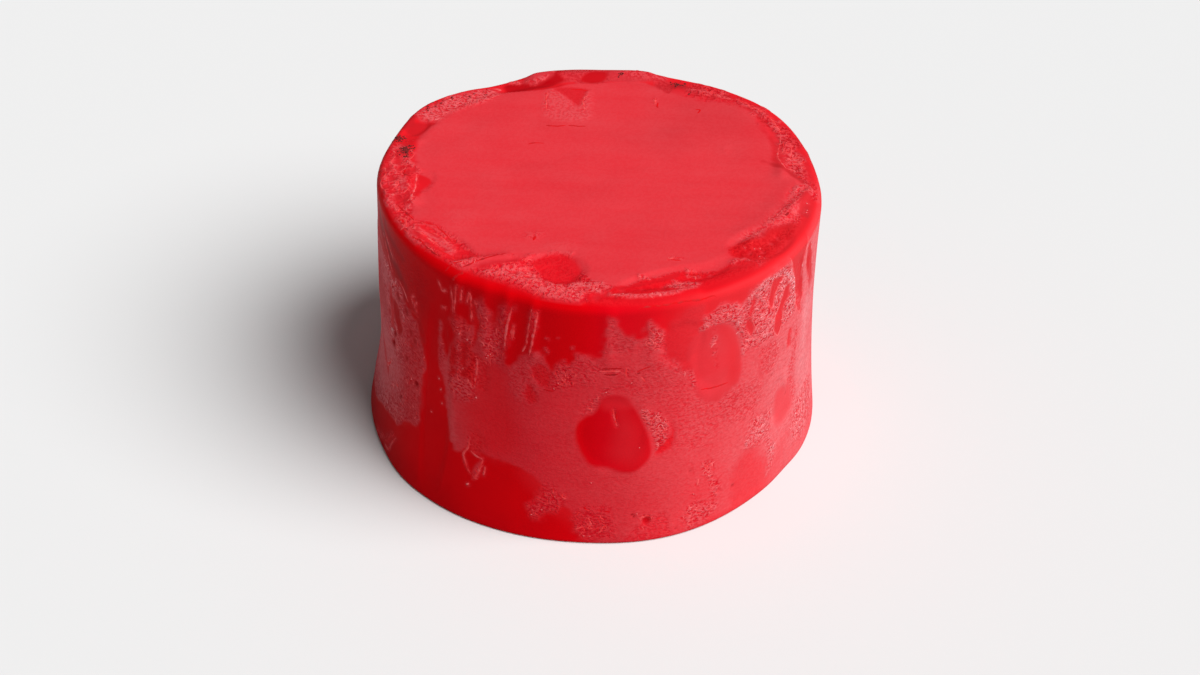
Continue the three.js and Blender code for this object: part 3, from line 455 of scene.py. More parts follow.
TOP_MARKS = [
    area(dict(PLATE, soft=0.7, ragged=0.5), *PLATE_OUTLINE),
    # Painted shade: the plate darker towards the back right
    area(dict(PLATE, haze=1.05, soft=9, dark=0.14), (12, 20), (45, 15), (42, 34), (30, 42),
         (16, 45)),
    area(dict(PLATE, haze=1.05, soft=5, dark=0.14), (36, -24), (44, -16), (51, -8), (53, 0),
         (50, 8), (44, 8), (42, -6)),
    area(dict(PLATE, rise=0.2, soft=0.7), (-46, -0.6), (-44.3, -2.6), (-44.1, -6.5),
         (-45.6, -10.2), (-48, -11.4), (-49.7, -9.4), (-49.9, -5.5), (-48.4, -1.8)),
    # The back left: the crust with its dark pits, the bare patch and the streak
    area(dict(CRUST, haze=1.9, soft=1.5), (-53, 29), (-47, 35.5), (-42, 41.5), (-33, 45.5),
         (-30.5, 43), (-32, 38.5), (-38, 34.5), (-43, 30), (-46, 26.5), (-49.5, 26.5)),
    area(dict(BARE, dark=0.3), (-55, 28), (-52, 28.5), (-52, 25.3), (-46.3, 24.7),
         (-48.5, 21.5), (-51.5, 17.5), (-54.3, 20.5), (-56.5, 24)),
    area(dict(BARE, dark=0.5), (-55.8, 27.5), (-53, 28.3), (-52.6, 24), (-54.8, 21.5),
         (-56.6, 24)),
    area(dict(SMOOTH, haze=0.7, dark=0.3), (-24, 49.8), (-21, 55), (-16.3, 58.5), (0, 60),
         (14, 58.5), (14, 54), (0, 51.8), (-9, 50.5), (-14, 50), (-18.3, 49.6)),
    line(dict(SHADE, dark=0.5, soft=0.7), 0.7, (-27.5, 46.3), (-23, 46.4), (-18, 48),
         (-14.5, 51)),
    area(dict(BARE, haze=-0.3, dark=0.66, soft=0.8, rise=0.1), (-28.3, 45.8), (-28.5, 49.2),
         (-24, 50), (-19.5, 49.8), (-15.3, 52.8), (-14.2, 56.5), (-9.5, 57), (-8, 54.3),
         (-12.5, 50.5), (-18, 47), (-24, 45.3)),
    area(dict(SMOOTH, haze=1.1, dark=0.1), (-23, 51.8), (-21, 56), (-16.3, 58.5), (-15.2, 55),
         (-18.3, 51.2)),
    line(dict(CRUST, haze=1.5, soft=0.5), 0.4, (-27, 50.6), (-23, 50.6), (-19.5, 50.9),
         (-17, 52.4), (-15.4, 54.8)),
    line(FAINT_RIDGE_HIGHLIGHT, 0.3, (-33, 46.8), (-30, 46.6), (-31, 45)),
    area(dict(FROST, haze=1.55, grain=0.3, soft=1.3), (-16.8, 31), (-16.8, 44), (-14, 46.7),
         (-4.5, 46.7), (-3.8, 35), (-5, 29.5), (-12, 28.5)),
    area(dict(BARE, haze=0.2, grain=0.15, dark=0.25), (-14.6, 46.3), (-10, 47.8), (-4.6, 47),
         (-5.6, 44.5), (-6, 40), (-7.3, 36.8), (-9.7, 40), (-12.3, 43.5)),
    line(SHALLOW_CREASE_SHADE, 0.3, (-10, 46.5), (-7, 46.7), (-4.8, 46)),
    *lines(FAINT_RIDGE_HIGHLIGHT, 0.25, ((-16.4, 44), (-16.6, 39), (-16.2, 34)),
           ((-5.4, 43), (-6.2, 40), (-5.6, 35))),
    line(SHALLOW_CREASE_SHADE, 0.3, (-16, 25.6), (-13, 25.4), (-10.5, 26)),
    line(SHALLOW_CREASE_SHADE, 0.22, (-10, 26), (-5, 26)),
    line(SHALLOW_CREASE_SHADE, 0.25, (-20.3, 15.2), (-18.5, 16), (-16, 16.1)),
    area(dict(THIN, dark=0.35), (-14, 53.5), (-8, 50.5), (0, 51.5), (0, 56), (-6, 57),
         (-12, 56)),
    area(dict(BARE, haze=-0.2, dark=0.5), (-7.2, 52.3), (-4, 50.9), (-0.5, 52.6), (0.3, 56),
         (-4, 56)),
    area(dict(NET, haze=1.0, grain=0.6, dark=0.2), (4, 55.5), (13, 53.5), (17, 51), (18, 56.5),
         (8, 58.5)),
    *spots(PIT, 0.4, (-34.8, 44), (-40, 41.2), (-43.7, 39), (-47.5, 35.5), (-49.5, 32.5)),
    *spots(PIT, 0.3, (-44.6, 32.2), (-48.6, 30), (-46, 38), (-36.5, 37)),
    # The back right: smears, blotches and squiggles between plate and lip
    area(dict(ROUGH_BARE, haze=0.3, dark=0.35), (14, 54.5), (18.5, 54.5), (19.5, 50), (18, 46.5),
         (15.5, 49), (14.3, 52)),
    area(dict(NET, haze=0.32, grain=0.9, dark=0.36, ragged=2.2), (25, 54), (33, 50.5),
         (39, 45.5), (45, 40), (49, 33), (52.5, 26), (54, 20), (49.5, 20), (48.5, 26),
         (46.5, 30), (43.3, 33.5), (42, 38), (37, 42.5), (30, 44.5), (24, 46.5)),
    *spots(dict(NET, soft=0.5), 0.9, (29, 46.5), (33.5, 48), (37.5, 44.5), (27, 50),
           (42, 37), (48.3, 33.5), (46, 41.5), (50.3, 25.5)),
    *spots(dict(SHADE, dark=0.55, soft=1.0), 1.6, (20, 51.5), (22.5, 51), (24.5, 48.5)),
    *spots(dict(THIN, haze=0.4, ragged=1.4), 1.6, (24, 46.3), (28, 44.3), (33, 44.3),
           (36.5, 43.3), (44.6, 33.4)),
    *spots(dict(ROUGH_BARE, dark=0.5), 1.2, (44.8, 33.5), (31, 46), (26.5, 51), (35, 46.8),
           (47.5, 29), (40.5, 41)),
    area(dict(SHADE, dark=0.4), (47, 21), (48.3, 21), (48.5, 12), (47.8, 9), (46.7, 12)),
    line(dict(CRUST, haze=1.3, soft=0.5), 0.5, (42.5, 40.5), (44.7, 38.8), (46, 36)),
    line(FAINT_RIDGE_HIGHLIGHT, 0.3, (29.5, 48.7), (31.5, 48), (33, 46)),
    line(FAINT_RIDGE_HIGHLIGHT, 0.35, (37.5, 45.5), (40.5, 43.3), (41, 41), (43.6, 40.3), (45, 38.5)),
    line(FAINT_RIDGE_HIGHLIGHT, 0.3, (45.3, 36), (46.6, 35.3), (47.7, 33), (48.5, 30), (49.4, 28)),
    line(RIDGE_HIGHLIGHT, 0.2, (49, 26), (48.7, 22), (48, 18), (47.6, 14), (48.5, 10.5), (49.6, 8.3)),
    line(FAINT_RIDGE_HIGHLIGHT, 0.2, (49.3, 22), (49.5, 19), (49, 16.5)),
    line(RIDGE_HIGHLIGHT, 0.2, (51.8, 19), (51.3, 16.5), (51.6, 15)),
    *lines(FAINT_RIDGE_HIGHLIGHT, 0.22, ((49.3, 13.5), (51.5, 13.7), (53.6, 15)),
           ((50.3, 11), (53, 11.2), (55, 13.5))),
    line(RIDGE_HIGHLIGHT, 0.25, (50.2, 8.3), (51.6, 8.2), (52, 7)),
    line(FAINT_RIDGE_HIGHLIGHT, 0.22, (52.4, 5.7), (53.8, 4.3)),
    line(dict(SHADE, soft=0.8), 0.5, (43.5, 11.5), (46, 10), (48.5, 8.6), (50.7, 6.8), (52.5, 4.8)),
    line(BLOTCH, 0.5, (46.7, 28), (46.4, 23), (46.9, 17), (46.4, 12)),
    *spots(BLOTCH, 0.6, (44.5, 27.5), (46, 24), (43.4, 36), (40, 41)),
    line(dict(CRUST, haze=1.1, dark=0.3), 0.6, (23, 49.5), (28, 48.5), (34, 46), (40, 42),
         (44.5, 36.5), (47.3, 30.5), (48.9, 24)),
    area(dict(NET, haze=0.9, grain=0.9, dark=0.3), (48.5, 21), (52.3, 21), (54.5, 14), (55, 2),
         (53, 3.5), (50.5, 9)),
    line(dict(SHADE, dark=0.5, soft=0.8), 0.7, (46, 10.5), (49, 8), (51.5, 5.5), (54.5, 1)),
    line(dict(CRUST, haze=1.6, soft=0.5), 0.4, (50.5, 19), (51.8, 14.5), (53.8, 10)),
    line(dict(CRUST, haze=1.5, soft=0.5), 0.4, (49.2, 14), (51, 12.3), (53, 12.8)),
    line(dict(SMOOTH, haze=1.15), 0.5, (34, 19), (33.8, 15.3)),
    *lines(SHALLOW_CREASE_SHADE, 0.3, ((15, 41), (14.9, 38)), ((25.6, 38), (27, 38), (26.3, 36))),
    line(FAINT_RIDGE_HIGHLIGHT, 0.3, (14.3, 43.5), (14.3, 40)),
    # The front left: folds along the lip
    area(dict(NET, haze=0.25, grain=0.5, dark=0.12, ragged=2.2), (-57.5, 12), (-53, 12),
         (-51, 4), (-49, -1), (-45.5, -6), (-48.5, -15), (-50, -20), (-55, -18), (-58, -8),
         (-59, 2)),
    *spots(dict(SHADE, haze=0.2, dark=0.7, soft=1.0, ragged=1.3), 0.8, (-55.4, 15.5),
           (-53, 9.3), (-53.6, 7.6)),
    *lines(FAINT_RIDGE_HIGHLIGHT, 0.22, ((-56.5, 9), (-55.3, 6.5), (-56.4, 3.5), (-55.2, 1)),
           ((-57.8, 1), (-57, -3), (-57.9, -7), (-56.8, -10)),
           ((-53.8, 2.6), (-52, 1), (-53.2, -1.6), (-52.2, -4)),
           ((-54.8, -6), (-53.2, -7.6), (-54.4, -10.2))),
    *lines(FAINT_RIDGE_HIGHLIGHT, 0.2, ((-51.2, -7), (-50.2, -9.6), (-51.4, -12)),
           ((-51.8, 9.5), (-50.6, 6.8), (-51.6, 4.4))),
    *spots(dict(NET, haze=1.2, soft=0.6), 1.3, (-56, 2.5), (-57.5, -6), (-52.5, 3.5),
           (-55.5, -17), (-50.8, -9), (-53.5, 9.5)),
    area(dict(BARE, dark=0.08, rise=0.2), (-49, -2.5), (-46.3, -3.3), (-44.8, -6), (-46.5, -10),
         (-48, -15), (-49.3, -10), (-49.6, -6)),
    area(dict(FROST, haze=1.3), (-52.6, -4.5), (-51, -5.5), (-50.8, -10), (-52.4, -10.6),
         (-53.2, -8.5)),
    line(dict(CRUST, haze=1.2), 0.6, (-57, 7), (-55, 1), (-56.5, -6), (-56, -12)),
    line(dict(CRUST, haze=1.2), 0.5, (-55, 12), (-56.3, 8)),
    line(dict(CRUST, haze=1.3), 0.6, (-52.5, 5), (-50, 1.5), (-48.8, -2)),
    line(dict(CRUST, haze=1.2), 0.5, (-54.5, -2), (-53.8, -8), (-52, -13)),
    *spots(BLOTCH, 1.2, (-54.6, 3.6), (-57.3, 1), (-56.5, -9), (-53.5, -14.5)),
    *spots(BLOTCH, 1.0, (-51.7, -1.5), (-53.6, 0.3), (-49.8, -0.8), (-50.5, -12.5), (-55, -5)),
    *spots(BLOTCH, 0.8, (-54.2, -11.5), (-49.5, 3.5), (-51, -15.5), (-57.5, 5)),
    line(CREASE_SHADE, 0.3, (-52.2, 0), (-52, -3), (-50.2, -4)),
    line(CREASE_SHADE, 0.25, (-53.5, -11.6), (-51.5, -11.2)),
    line(RIDGE_HIGHLIGHT, 0.35, (-54.6, -13.2), (-53.3, -13.2)),
    line(RIDGE_HIGHLIGHT, 0.2, (-49, -2.4), (-48.6, -8), (-49, -13), (-48.7, -16)),
    line(dict(CRUST, haze=1.3), 0.5, (-48.6, -15), (-49.2, -18), (-50.3, -20)),
    line(CREASE_SHADE, 0.3, (-52.7, -17), (-51, -19.3), (-49, -22), (-47.4, -25)),
    line(dict(CRUST, haze=1.4), 0.6, (-55, -15), (-53, -19), (-51, -22.3)),
    line(dict(SHADE, dark=0.15), 0.5, (-54, -19.5), (-51, -24), (-48.5, -27.5)),
    line(dict(CRUST, haze=1.3), 0.4, (-51.3, -24), (-49.6, -27.5), (-48, -30.5)),
    line(FAINT_RIDGE_HIGHLIGHT, 0.25, (-52.3, -24.5), (-50.8, -23.6), (-49.5, -25), (-49, -28)),
    line(SHALLOW_CREASE_SHADE, 0.4, (-51.3, -24.8), (-50, -25), (-50.2, -27)),
    area(dict(BARE, haze=0.15, grain=0.4, dark=0.02), (-47, -25.3), (-43, -25.4), (-39.5, -28.5),
         (-36, -33.5), (-30, -39.3), (-33, -40.7), (-38, -41.5), (-42, -38.5), (-46, -33),
         (-48.3, -28.5)),
    line(dict(CRUST, haze=1.5, grain=0.4), 1.2, (-46.3, -28.5), (-42.5, -31), (-39.5, -33.8),
         (-36.8, -37)),
    line(dict(CRUST, haze=1.5, grain=0.5, dark=0.1), 1.0, (-48.3, -30.5), (-45.7, -34)),
    line(dict(CRUST, haze=1.2, grain=0.5), 0.4, (-45, -26), (-41.5, -27.8), (-38.5, -31)),
    *lines(FAINT_RIDGE_HIGHLIGHT, 0.25, ((-46.5, -29.5), (-42.8, -32.3), (-40, -35.2)),
           ((-43.5, -28.7), (-40.3, -30.8), (-37.5, -34.5))),
    line(SHALLOW_CREASE_SHADE, 0.25, (-47.3, -31.8), (-45, -33.6), (-43.5, -35.5)),
    line(SHALLOW_CREASE_SHADE, 0.2, (-40, -37.4), (-37, -39.5), (-34.2, -40.4)),
    *lines(dict(SHADE, dark=0.3, soft=0.6), 0.5, ((-46.5, -27), (-43, -29.4), (-40.5, -31.5)),
           ((-47.6, -29.2), (-44.2, -32.6), (-42.4, -35.4))),
    line(SHALLOW_CREASE_SHADE, 0.22, (-47, -26), (-43, -26), (-40, -28.6), (-36.6, -33.4)),
    line(NET, 0.9, (-45.7, -25.8), (-47, -28)),
    *spots(PIT, 0.8, (-43.6, -35.2)),
    *spots(BLOTCH, 0.7, (-46.2, -30.4), (-44, -32), (-41, -36.5), (-35, -38)),
    line(dict(CRUST, haze=1.3), 0.6, (-44.5, -34), (-43.3, -37), (-41.5, -37.3)),
    line(CREASE_SHADE, 0.3, (-43.3, -35.7), (-41.3, -38.2), (-39.1, -40.2)),
    line(FAINT_RIDGE_HIGHLIGHT, 0.16, (-43.4, -35.4), (-41.5, -37.8), (-39.4, -40)),
    area(SMOOTH, (-39.2, -43.5), (-36, -42.3), (-30, -41), (-25, -39.3), (-20, -39),
         (-20, -40.5), (-26, -43.5), (-33, -45.3), (-37.5, -45.2)),
    line(dict(CRUST, haze=1.3), 0.6, (-37, -43.4), (-33, -42.8), (-30.5, -42.3)),
    line(CREASE_SHADE, 0.25, (-33.7, -44.7), (-30.5, -42.8), (-27, -40.6), (-23, -38.5)),
    line(SHALLOW_CREASE_SHADE, 0.25, (-38.5, -44), (-35.5, -43), (-33, -42.5)),
    line(dict(SHADE, dark=0.25), 0.6, (-29, -44.5), (-25, -42.6), (-20, -41)),
    line(SHALLOW_CREASE_SHADE, 0.4, (-33, -45.7), (-36, -46)),
    area(dict(CRUST, dark=-0.1), (-29, -46.5), (-23, -43.7), (-18, -43.3), (-15.5, -45.5),
         (-12.5, -48.5), (-9, -50.7), (-5, -49.7), (-1, -49), (-1, -50.5), (-4, -52.5),
         (-4, -54.5), (-6, -56.5), (-10, -55.3), (-14, -52.5), (-19, -49.8), (-24, -47.5)),
    area(dict(BARE, haze=0.1, grain=0.3, dark=0.04), (-16.5, -40.5), (-14.5, -38.5),
         (-11.5, -37), (-8.2, -37), (-6, -39.5), (-4.6, -44), (-5.2, -47.5), (-8.5, -49.6),
         (-11, -48.7), (-14, -45), (-15.5, -43)),
    line(dict(SHADE, dark=0.12), 0.4, (-6.2, -39), (-4.6, -43.5), (-5, -47)),
    line(dict(CRUST, haze=1.1, grain=0.5, soft=0.5), 0.3, (-18, -39.3), (-14.6, -37),
         (-10.5, -35.8), (-7, -36.5)),
    line(dict(CRUST, haze=1.9, soft=0.5), 0.7, (-14, -50.5), (-9, -51.2), (-4, -50), (0, -49)),
    line(dict(CRUST, haze=1.7, soft=0.5), 0.5, (-12, -54.5), (-7, -56.3), (-3, -57.5)),
    *spots(BLOTCH, 0.6, (-17, -47.5), (-13, -50.5), (-8, -53), (-20.5, -46), (-4.5, -52)),
    line(SHALLOW_CREASE_SHADE, 0.4, (-16.7, -31.3), (-16, -29.7)),
    area(dict(FROST, haze=1.2, grain=0.5, soft=1.5), (-19, -29), (-16, -27.5), (-14.5, -28.5),
         (-16, -30), (-18, -30.5)),
    area(dict(SMOOTH, haze=1.2, soft=4), (-41, -22), (-35, -20), (-33, -24), (-37, -27)),
    area(dict(SMOOTH, haze=1.25, soft=2.5), (-12, -31), (-7, -31), (-7, -35), (-12, -35)),
    # The front right: the bare band, its crust and the pale arc
    area(dict(BARE, grain=0.3, dark=0.1, ragged=0.6, rise=0.1), (-2, -54), (4, -50.5),
         (8, -48.7), (11, -46.3), (15, -44.8), (20, -42), (25, -41.5), (30, -40), (34, -36.5),
         (37, -36), (40, -37.5), (36, -43), (28, -49), (18, -54.5), (8, -57.5), (0, -57.5)),
    line(dict(SHADE, dark=0.22, soft=0.5), 0.4, (5, -50.6), (10, -48.3), (15, -45.8),
         (20, -43), (25, -42.2)),
    line(dict(SHADE, dark=0.2, soft=0.6), 0.5, (29, -41.5), (33, -39), (38, -37.5)),
    line(dict(CRUST, haze=1.2, soft=0.5), 0.4, (22.3, -41.3), (25, -41), (27, -41.3)),
    line(dict(CRUST, haze=1.7, soft=0.5), 0.5, (22, -43.6), (25, -43.3), (27.3, -42.8),
         (28.2, -42)),
    line(CREASE_SHADE, 0.22, (21, -42.6), (24.5, -42.3), (26, -42)),
    area(dict(CRUST, haze=1.3), (17, -48), (20, -45.5), (25.5, -46.7), (24, -48.5), (20, -50)),
    line(dict(CRUST, haze=1.7, grain=0.6, soft=0.4, ragged=0.6), 0.5, (-4, -50.5),
         (0.5, -52.3), (5, -53.6), (8.5, -53.7), (12, -53.3), (16, -52.2), (21, -50.3),
         (24, -48.5)),
    line(dict(SHADE, haze=0, dark=0.2, soft=0.4, ragged=0.4), 0.4, (4, -55), (9, -55.2),
         (15, -54.3), (22, -52), (28, -49.3)),
    line(SHALLOW_CREASE_SHADE, 0.22, (10, -56.6), (15, -55.5), (20, -53.8), (25, -51.9), (29, -49.8)),
    *spots(SPECK, 0.4, (6.2, -53), (5.2, -53.8)),
    line(dict(CRUST, haze=1.2, soft=0.5), 0.4, (10, -45), (12.5, -45.7)),
    line(dict(CRUST, haze=1.5), 0.9, (0.5, -49.3), (2.5, -50.7)),
    line(dict(CRUST, haze=2.0, grain=0.5, soft=0.4, ragged=0.5), 0.45, (-4, -58), (2, -58),
         (9, -57.5), (13, -56.8)),
    line(dict(CRUST, haze=1.6, grain=0.5, soft=0.4, ragged=0.5), 0.3, (15, -56.2), (20, -54.8),
         (25, -52.8), (30, -50.2)),
    *spots(BLOTCH, 0.8, (2, -53), (6, -51.5), (11, -50.5), (16, -49.5), (-0.5, -54.5)),
    line(dict(BARE, soft=1.2), 1.8, (22, -52.5), (30, -47.5), (38, -42), (44, -36),
         (49, -28), (53, -18), (55.5, -8)),
    area(dict(BARE, haze=-0.1, grain=0.1, dark=0.12, soft=2.4, rise=0.22), (33.5, -31.5),
         (38.5, -27), (44, -22), (49.5, -18.5), (51.5, -20.5), (48.5, -26.5), (45.3, -32),
         (41.5, -35.8), (36, -35.6), (33.5, -34)),
    area(dict(BARE, haze=-0.2, grain=0.4, dark=0.36, rise=0.22, soft=0.9), (32.8, -31.2),
         (35, -28.5), (38.5, -26.8), (41, -25.2), (44, -21.2), (49, -18.2), (50.3, -20),
         (47, -26), (43.5, -31.2), (40.5, -34.3), (36, -34.4), (33.5, -33.6)),
    line(dict(SHADE, haze=-0.2, dark=0.42, rise=0.22), 0.8, (42, -24.5), (45, -21.5),
         (48.5, -19.3)),
    *spots(dict(BLOTCH, haze=0.5, dark=0.1), 0.5, (38.2, -32), (43.5, -27.3), (41.2, -31.5),
           (45, -24.5)),
    *spots(RIDGE_HIGHLIGHT, 0.3, (36.8, -30.2), (39.3, -30), (40.7, -29.7), (40.4, -33.3), (41.5, -34)),
    line(dict(CRUST, haze=1.2, soft=0.5), 0.4, (33.5, -37), (35, -35.8), (37, -35.2)),
    line(dict(SMOOTH, grain=0.1, rise=0.12, soft=3, dark=0.12), 1.0, (35, -25),
         (40, -18.5), (44, -12.5), (47, -6), (49, -1)),
    area(dict(FROST, haze=1.5, grain=0.6, soft=1.2, rise=-0.15), (35.5, -26.5), (38, -23.5),
         (41.5, -19.5), (45.5, -14), (48.5, -7), (51.5, 0.5), (54.5, 0.5), (52.5, -8), (51, -14),
         (48.5, -18), (43, -21.5), (40.5, -25.3)),
    line(dict(CRUST, haze=1.9, soft=0.5), 0.6, (51, -3), (52.5, 0), (54.5, 0.7), (55.7, -1),
         (55.2, -3.5)),
    area(dict(BARE, haze=0.15, dark=0.3), (53.5, -3.5), (55.2, -4), (54.6, -10), (54, -15),
         (51.8, -12), (52.5, -7)),
    *spots(FAINT_RIDGE_HIGHLIGHT, 0.4, (54, -8.2), (53.5, -12.5), (53.8, -11.3)),
    line(CREASE_SHADE, 0.25, (47.7, -15.5), (49, -13.5)),
    line(FAINT_RIDGE_HIGHLIGHT, 0.2, (17.3, -37.3), (18.5, -36.6), (21, -36.7)),
    line(SHALLOW_CREASE_SHADE, 0.25, (18, -37.6), (20.5, -37.5)),
]

# How pale full frost and bare cream are at each bearing of the wall, and on the bare top. Past
# the frost's own paleness this is a painted sheen: strongest where the wall is seen edge-on at
# the left and the right and where the light falls on the right; on bare cream it is all sheen.
FROST_HAZE_AND_SHEEN = [(-180, 0.07), (-90, 0.17), (-75, 0.19), (-65, 0.15), (-55, 0.085), (-45, 0.065),
              (-35, 0.055), (-25, 0.036), (-15, 0.033), (0, 0.041), (10, 0.054), (20, 0.072),
              (30, 0.083), (45, 0.13), (60, 0.20), (70, 0.24), (85, 0.20), (120, 0.09),
              (180, 0.07)]
BARE_SHEEN = [(-180, 0.0), (0, 0.0), (15, 0.006), (30, 0.03), (45, 0.04), (60, 0.05),
             (90, 0.03), (180, 0.0)]
TOP_HAZE = 0.059
TOP_BARE_SHEEN = [(-180, 0.018), (-40, 0.014), (-10, 0.01), (30, 0.01), (45, 0.018), (60, 0.026),
                 (80, 0.03), (120, 0.018), (180, 0.018)]
# How deep the red is at each bearing: of the bare wall, the smeared rim of the top, and the lip.
# On the bare wall and the lip it is painted shade, darkest away from the light; on the rim it is
# partly the smears' own red and, towards the back, painted shade.
BARE_WALL_SHADE = [(-180, 0.05), (-90, 0.3), (-60, 0.2), (-50, 0.1), (-40, 0.1), (-28, 0.14),
             (-14, 0.14), (-2, 0.06), (8, 0.0), (90, 0.0), (180, 0.05)]
RIM_DARK_AND_SHADE = [(-180, 0.35), (-130, 0.35), (-90, 0.2), (-65, 0.05), (-50, 0.2), (-38, 0.04),
            (-25, 0.04), (-5, 0.1), (20, 0.12), (45, 0.05), (75, 0.1), (95, 0.25), (120, 0.38),
            (180, 0.35)]
LIP_SHADE = [(-180, 0.6), (-162, 0.6), (-149, 0.7), (-138, 0.6), (-90, 0.25), (-65, 0.0),
            (-30, 0.0), (-5, 0.04), (15, 0.08), (45, 0.0), (75, 0.05), (95, 0.3), (115, 0.65),
            (180, 0.6)]
# How much painted shade darkens the red of the whole wall at each bearing, away from the light
WALL_SHADE_BY_BEARING = [(-180, 0.0), (-110, 0.0), (-65, 0.16), (-45, 0.08), (-30, 0.12), (5, 0.12), (20, 0.03),
          (40, 0.0), (180, 0.0)]
# Where painted shade darkens the red still more: high up left of the front under the lip, and
# along the foot at the left
UPPER_SHADE = dict(bearing=-40, spread=10, low=38, high=60, dark=0.16)
FOOT_SHADE = dict(low=2, high=13, right=25, left=-35, ends=(50, 76), dark=0.13)

# How far up the surface faces where it starts to count as the top, and where it is all top
FACING_UP = (0.72, 0.96)
# Wall marks lie below this depth under the top, or where less than this share is top. Top marks
# lie above their depth, where more than their share is top.
WALL_ENDS = 0.9
WALL_MOST_UP = 0.6
TOP_BAND = 6
TOP_LEAST_UP = 0.2
# Strands of the wall end, and those of the top, this far below the top
WALL_SEATS_END = 1
TOP_SEATS_END = 4
# The depths where the bare lip starts and is full, and how much paleness and grain it loses
LIP_BAND = (3.2, 1.9)
LIP_BARE = dict(haze=0.85, grain=0.8)

# Pairs of size in mm and strength: what makes the edges of marks wander, the pale clouds, and
# the smears of the rim before any mark
WANDER = [(2.6, 0.6), (1.3, 0.55)]
WANDER_MOST = 1.3
CLOUDS = (7, 0.16)
CLOUD_STRETCH = (1, 1, 0.6)
SMEARS = dict(noise=(3.4, 0.5), level=0.45, wander=0.2, most=1.2, grain=0.9)
# Where the red is duller: where it is hazy, and as a painted sheen on the top and right of the
# front, where the light falls
DULL_AND_SHEEN = dict(share=0.5, low=-6, high=6)
# Relief all over: fine where the cream is grained, sweeps on the top, and a slow sway
FINE_RELIEF = (0.9, 0.05)
SWEEP_RELIEF = (3.0, 0.06)
SWEEP_STRETCH = (0.35, 1, 1)
SWEEP_FACING = (0.6, 0.9)
SWAY_RELIEF = (11, 0.10)
RELIEF_STARTS = (0.2, 2.5)

# The frost of the wall that the front doesn't show follows a rule: where it starts and is full,
# its crest, higher over a drip, its foot, where it is crusted, and its uneven bare hollows
UNSEEN = dict(starts=(88, 96), top=57, broad=(13, 8), fine=(4, 5), over_drip=9, low=9,
              foot=(20, 6), crest_wander=1.2, crest_soft=1, foot_wander=2, foot_soft=5,
              crust_size=9, crust=(0.15, 0.4), haze=(0.95, 0.35), grain=(0.2, 0.7), rise=0.12,
              hollow=(10, 0.25), hollow_wander=0.06, hollow_edge=(0.9, 1.0))

# Dark cake crumbs caught in the lip: place on the top, how far they spread, how many
CRUMB_HEAPS = [((-55.4, 15.5), 1.4, 60), ((-53, 9.3), 1.7, 90), ((-52.6, 6), 0.9, 16),
               ((21, 52.3), 1.9, 44), ((4.4, 55.5), 0.9, 8), ((24.3, 47.3), 0.8, 4),
               ((-34.5, 44), 1.8, 5), ((-39.5, 41.5), 2.0, 8), ((-43.7, 38.7), 2.0, 8),
               ((-47.3, 35.5), 2.0, 8), ((-50, 31.5), 2.0, 8)]
# The spread of a heap against its standard deviation, then the half width of a crumb, how deep
# it is sunk and how flat it is
HEAP_WIDTHS = 1.8
CRUMB_SIZE = (0.16, 0.42)
CRUMB_SUNK = 0.25
CRUMB_FLAT = 0.75
# Pale crystals on the crusted frost, their paleness partly a painted glint: how many, from which
# grain, their half widths, how deep they are sunk, how flat they are, and how wide a speck is
# against its spot
CRYSTAL_COUNT = 260
CRYSTAL_GRAIN = 0.55
CRYSTAL_SIZE = (0.10, 0.22)
CRYSTAL_SUNK = 0.2
CRYSTAL_FLAT = 0.6
SPECK_SHARE = 0.8
# Short curved strands of the frost: how many, from which grain, their form and their paleness
STROKE_COUNT = 2600
STROKE_GRAIN = 0.35
STROKE_LENGTH = (0.6, 2.2)
STROKE_HALF = (0.08, 0.19)
STROKE_POINTS = 5
STROKE_BEND = 0.8
STROKE_TALL = 0.5
STROKE_PALER = 1.5
# Crystals and strands stand closer where the frost is paler than this, up to a limit, and none
# stand at the very foot
PALE_HAZE = 0.05
MOST_CHANCE = 1.5
NONE_BELOW = 1.5
# A lump is a divided ball whose corners stand in and out by this much, longer one way
LUMP_DIVISIONS = 1
LUMP_CORNERS = (0.72, 1.2)
LUMP_STRETCH = (0.75, 1.35)

# What the mesh tells its material at each point
COAT_LOOKS = ("haze", "grain", "dark", "creased", "dull")
# The cream's own patterns: sizes in mm, how strong or sharp, and how they are stretched
ISLANDS = dict(size=0.75, strength=7.0, detail=2.0, stretch=(0.85, 0.85, 1.4))
WORMS = dict(size=0.65, sharp=10.0, detail=1.0, stretch=(0.85, 0.85, 1.4))
FURROWS = dict(size=1.7, sharp=14.0, detail=2.0, stretch=(0.45, 0.45, 1.5))
MOTTLE = dict(size=0.85, strength=1.8, detail=3.0)
SWEEPS = dict(size=5.0, strength=0.45, detail=3.0, stretch=(0.12, 1, 1))
DEPTHS = dict(size=16.0, strength=0.35, detail=2.0)
# How much each of them counts: in the paleness, in the depth of the red and in the roughness. In
# the depth of the red they paint the light and shade of the fine relief: lighter on the islands,
# darker in the furrows and between the islands.
ISLAND_LEVEL = 0.55
ISLAND_PALER = 1.6
WORM_PALER = 0.4
CRYSTAL_LEVEL = 1.0
CREASED_BY_GRAIN = 1.1
CREASED_LEAST = 0.25
FURROW_REDDER = 0.45
PALEST_LEAST = 0.15
ISLAND_LIT = 0.85
FURROW_SHADE = 2.2
GAP_SHADE = 0.12
CREAM_ROUGH = 0.36
ROUGHER_BY_HAZE = 2.2
ROUGHER_BY_GRAIN = 0.12
CREAM_BUMP = 0.085
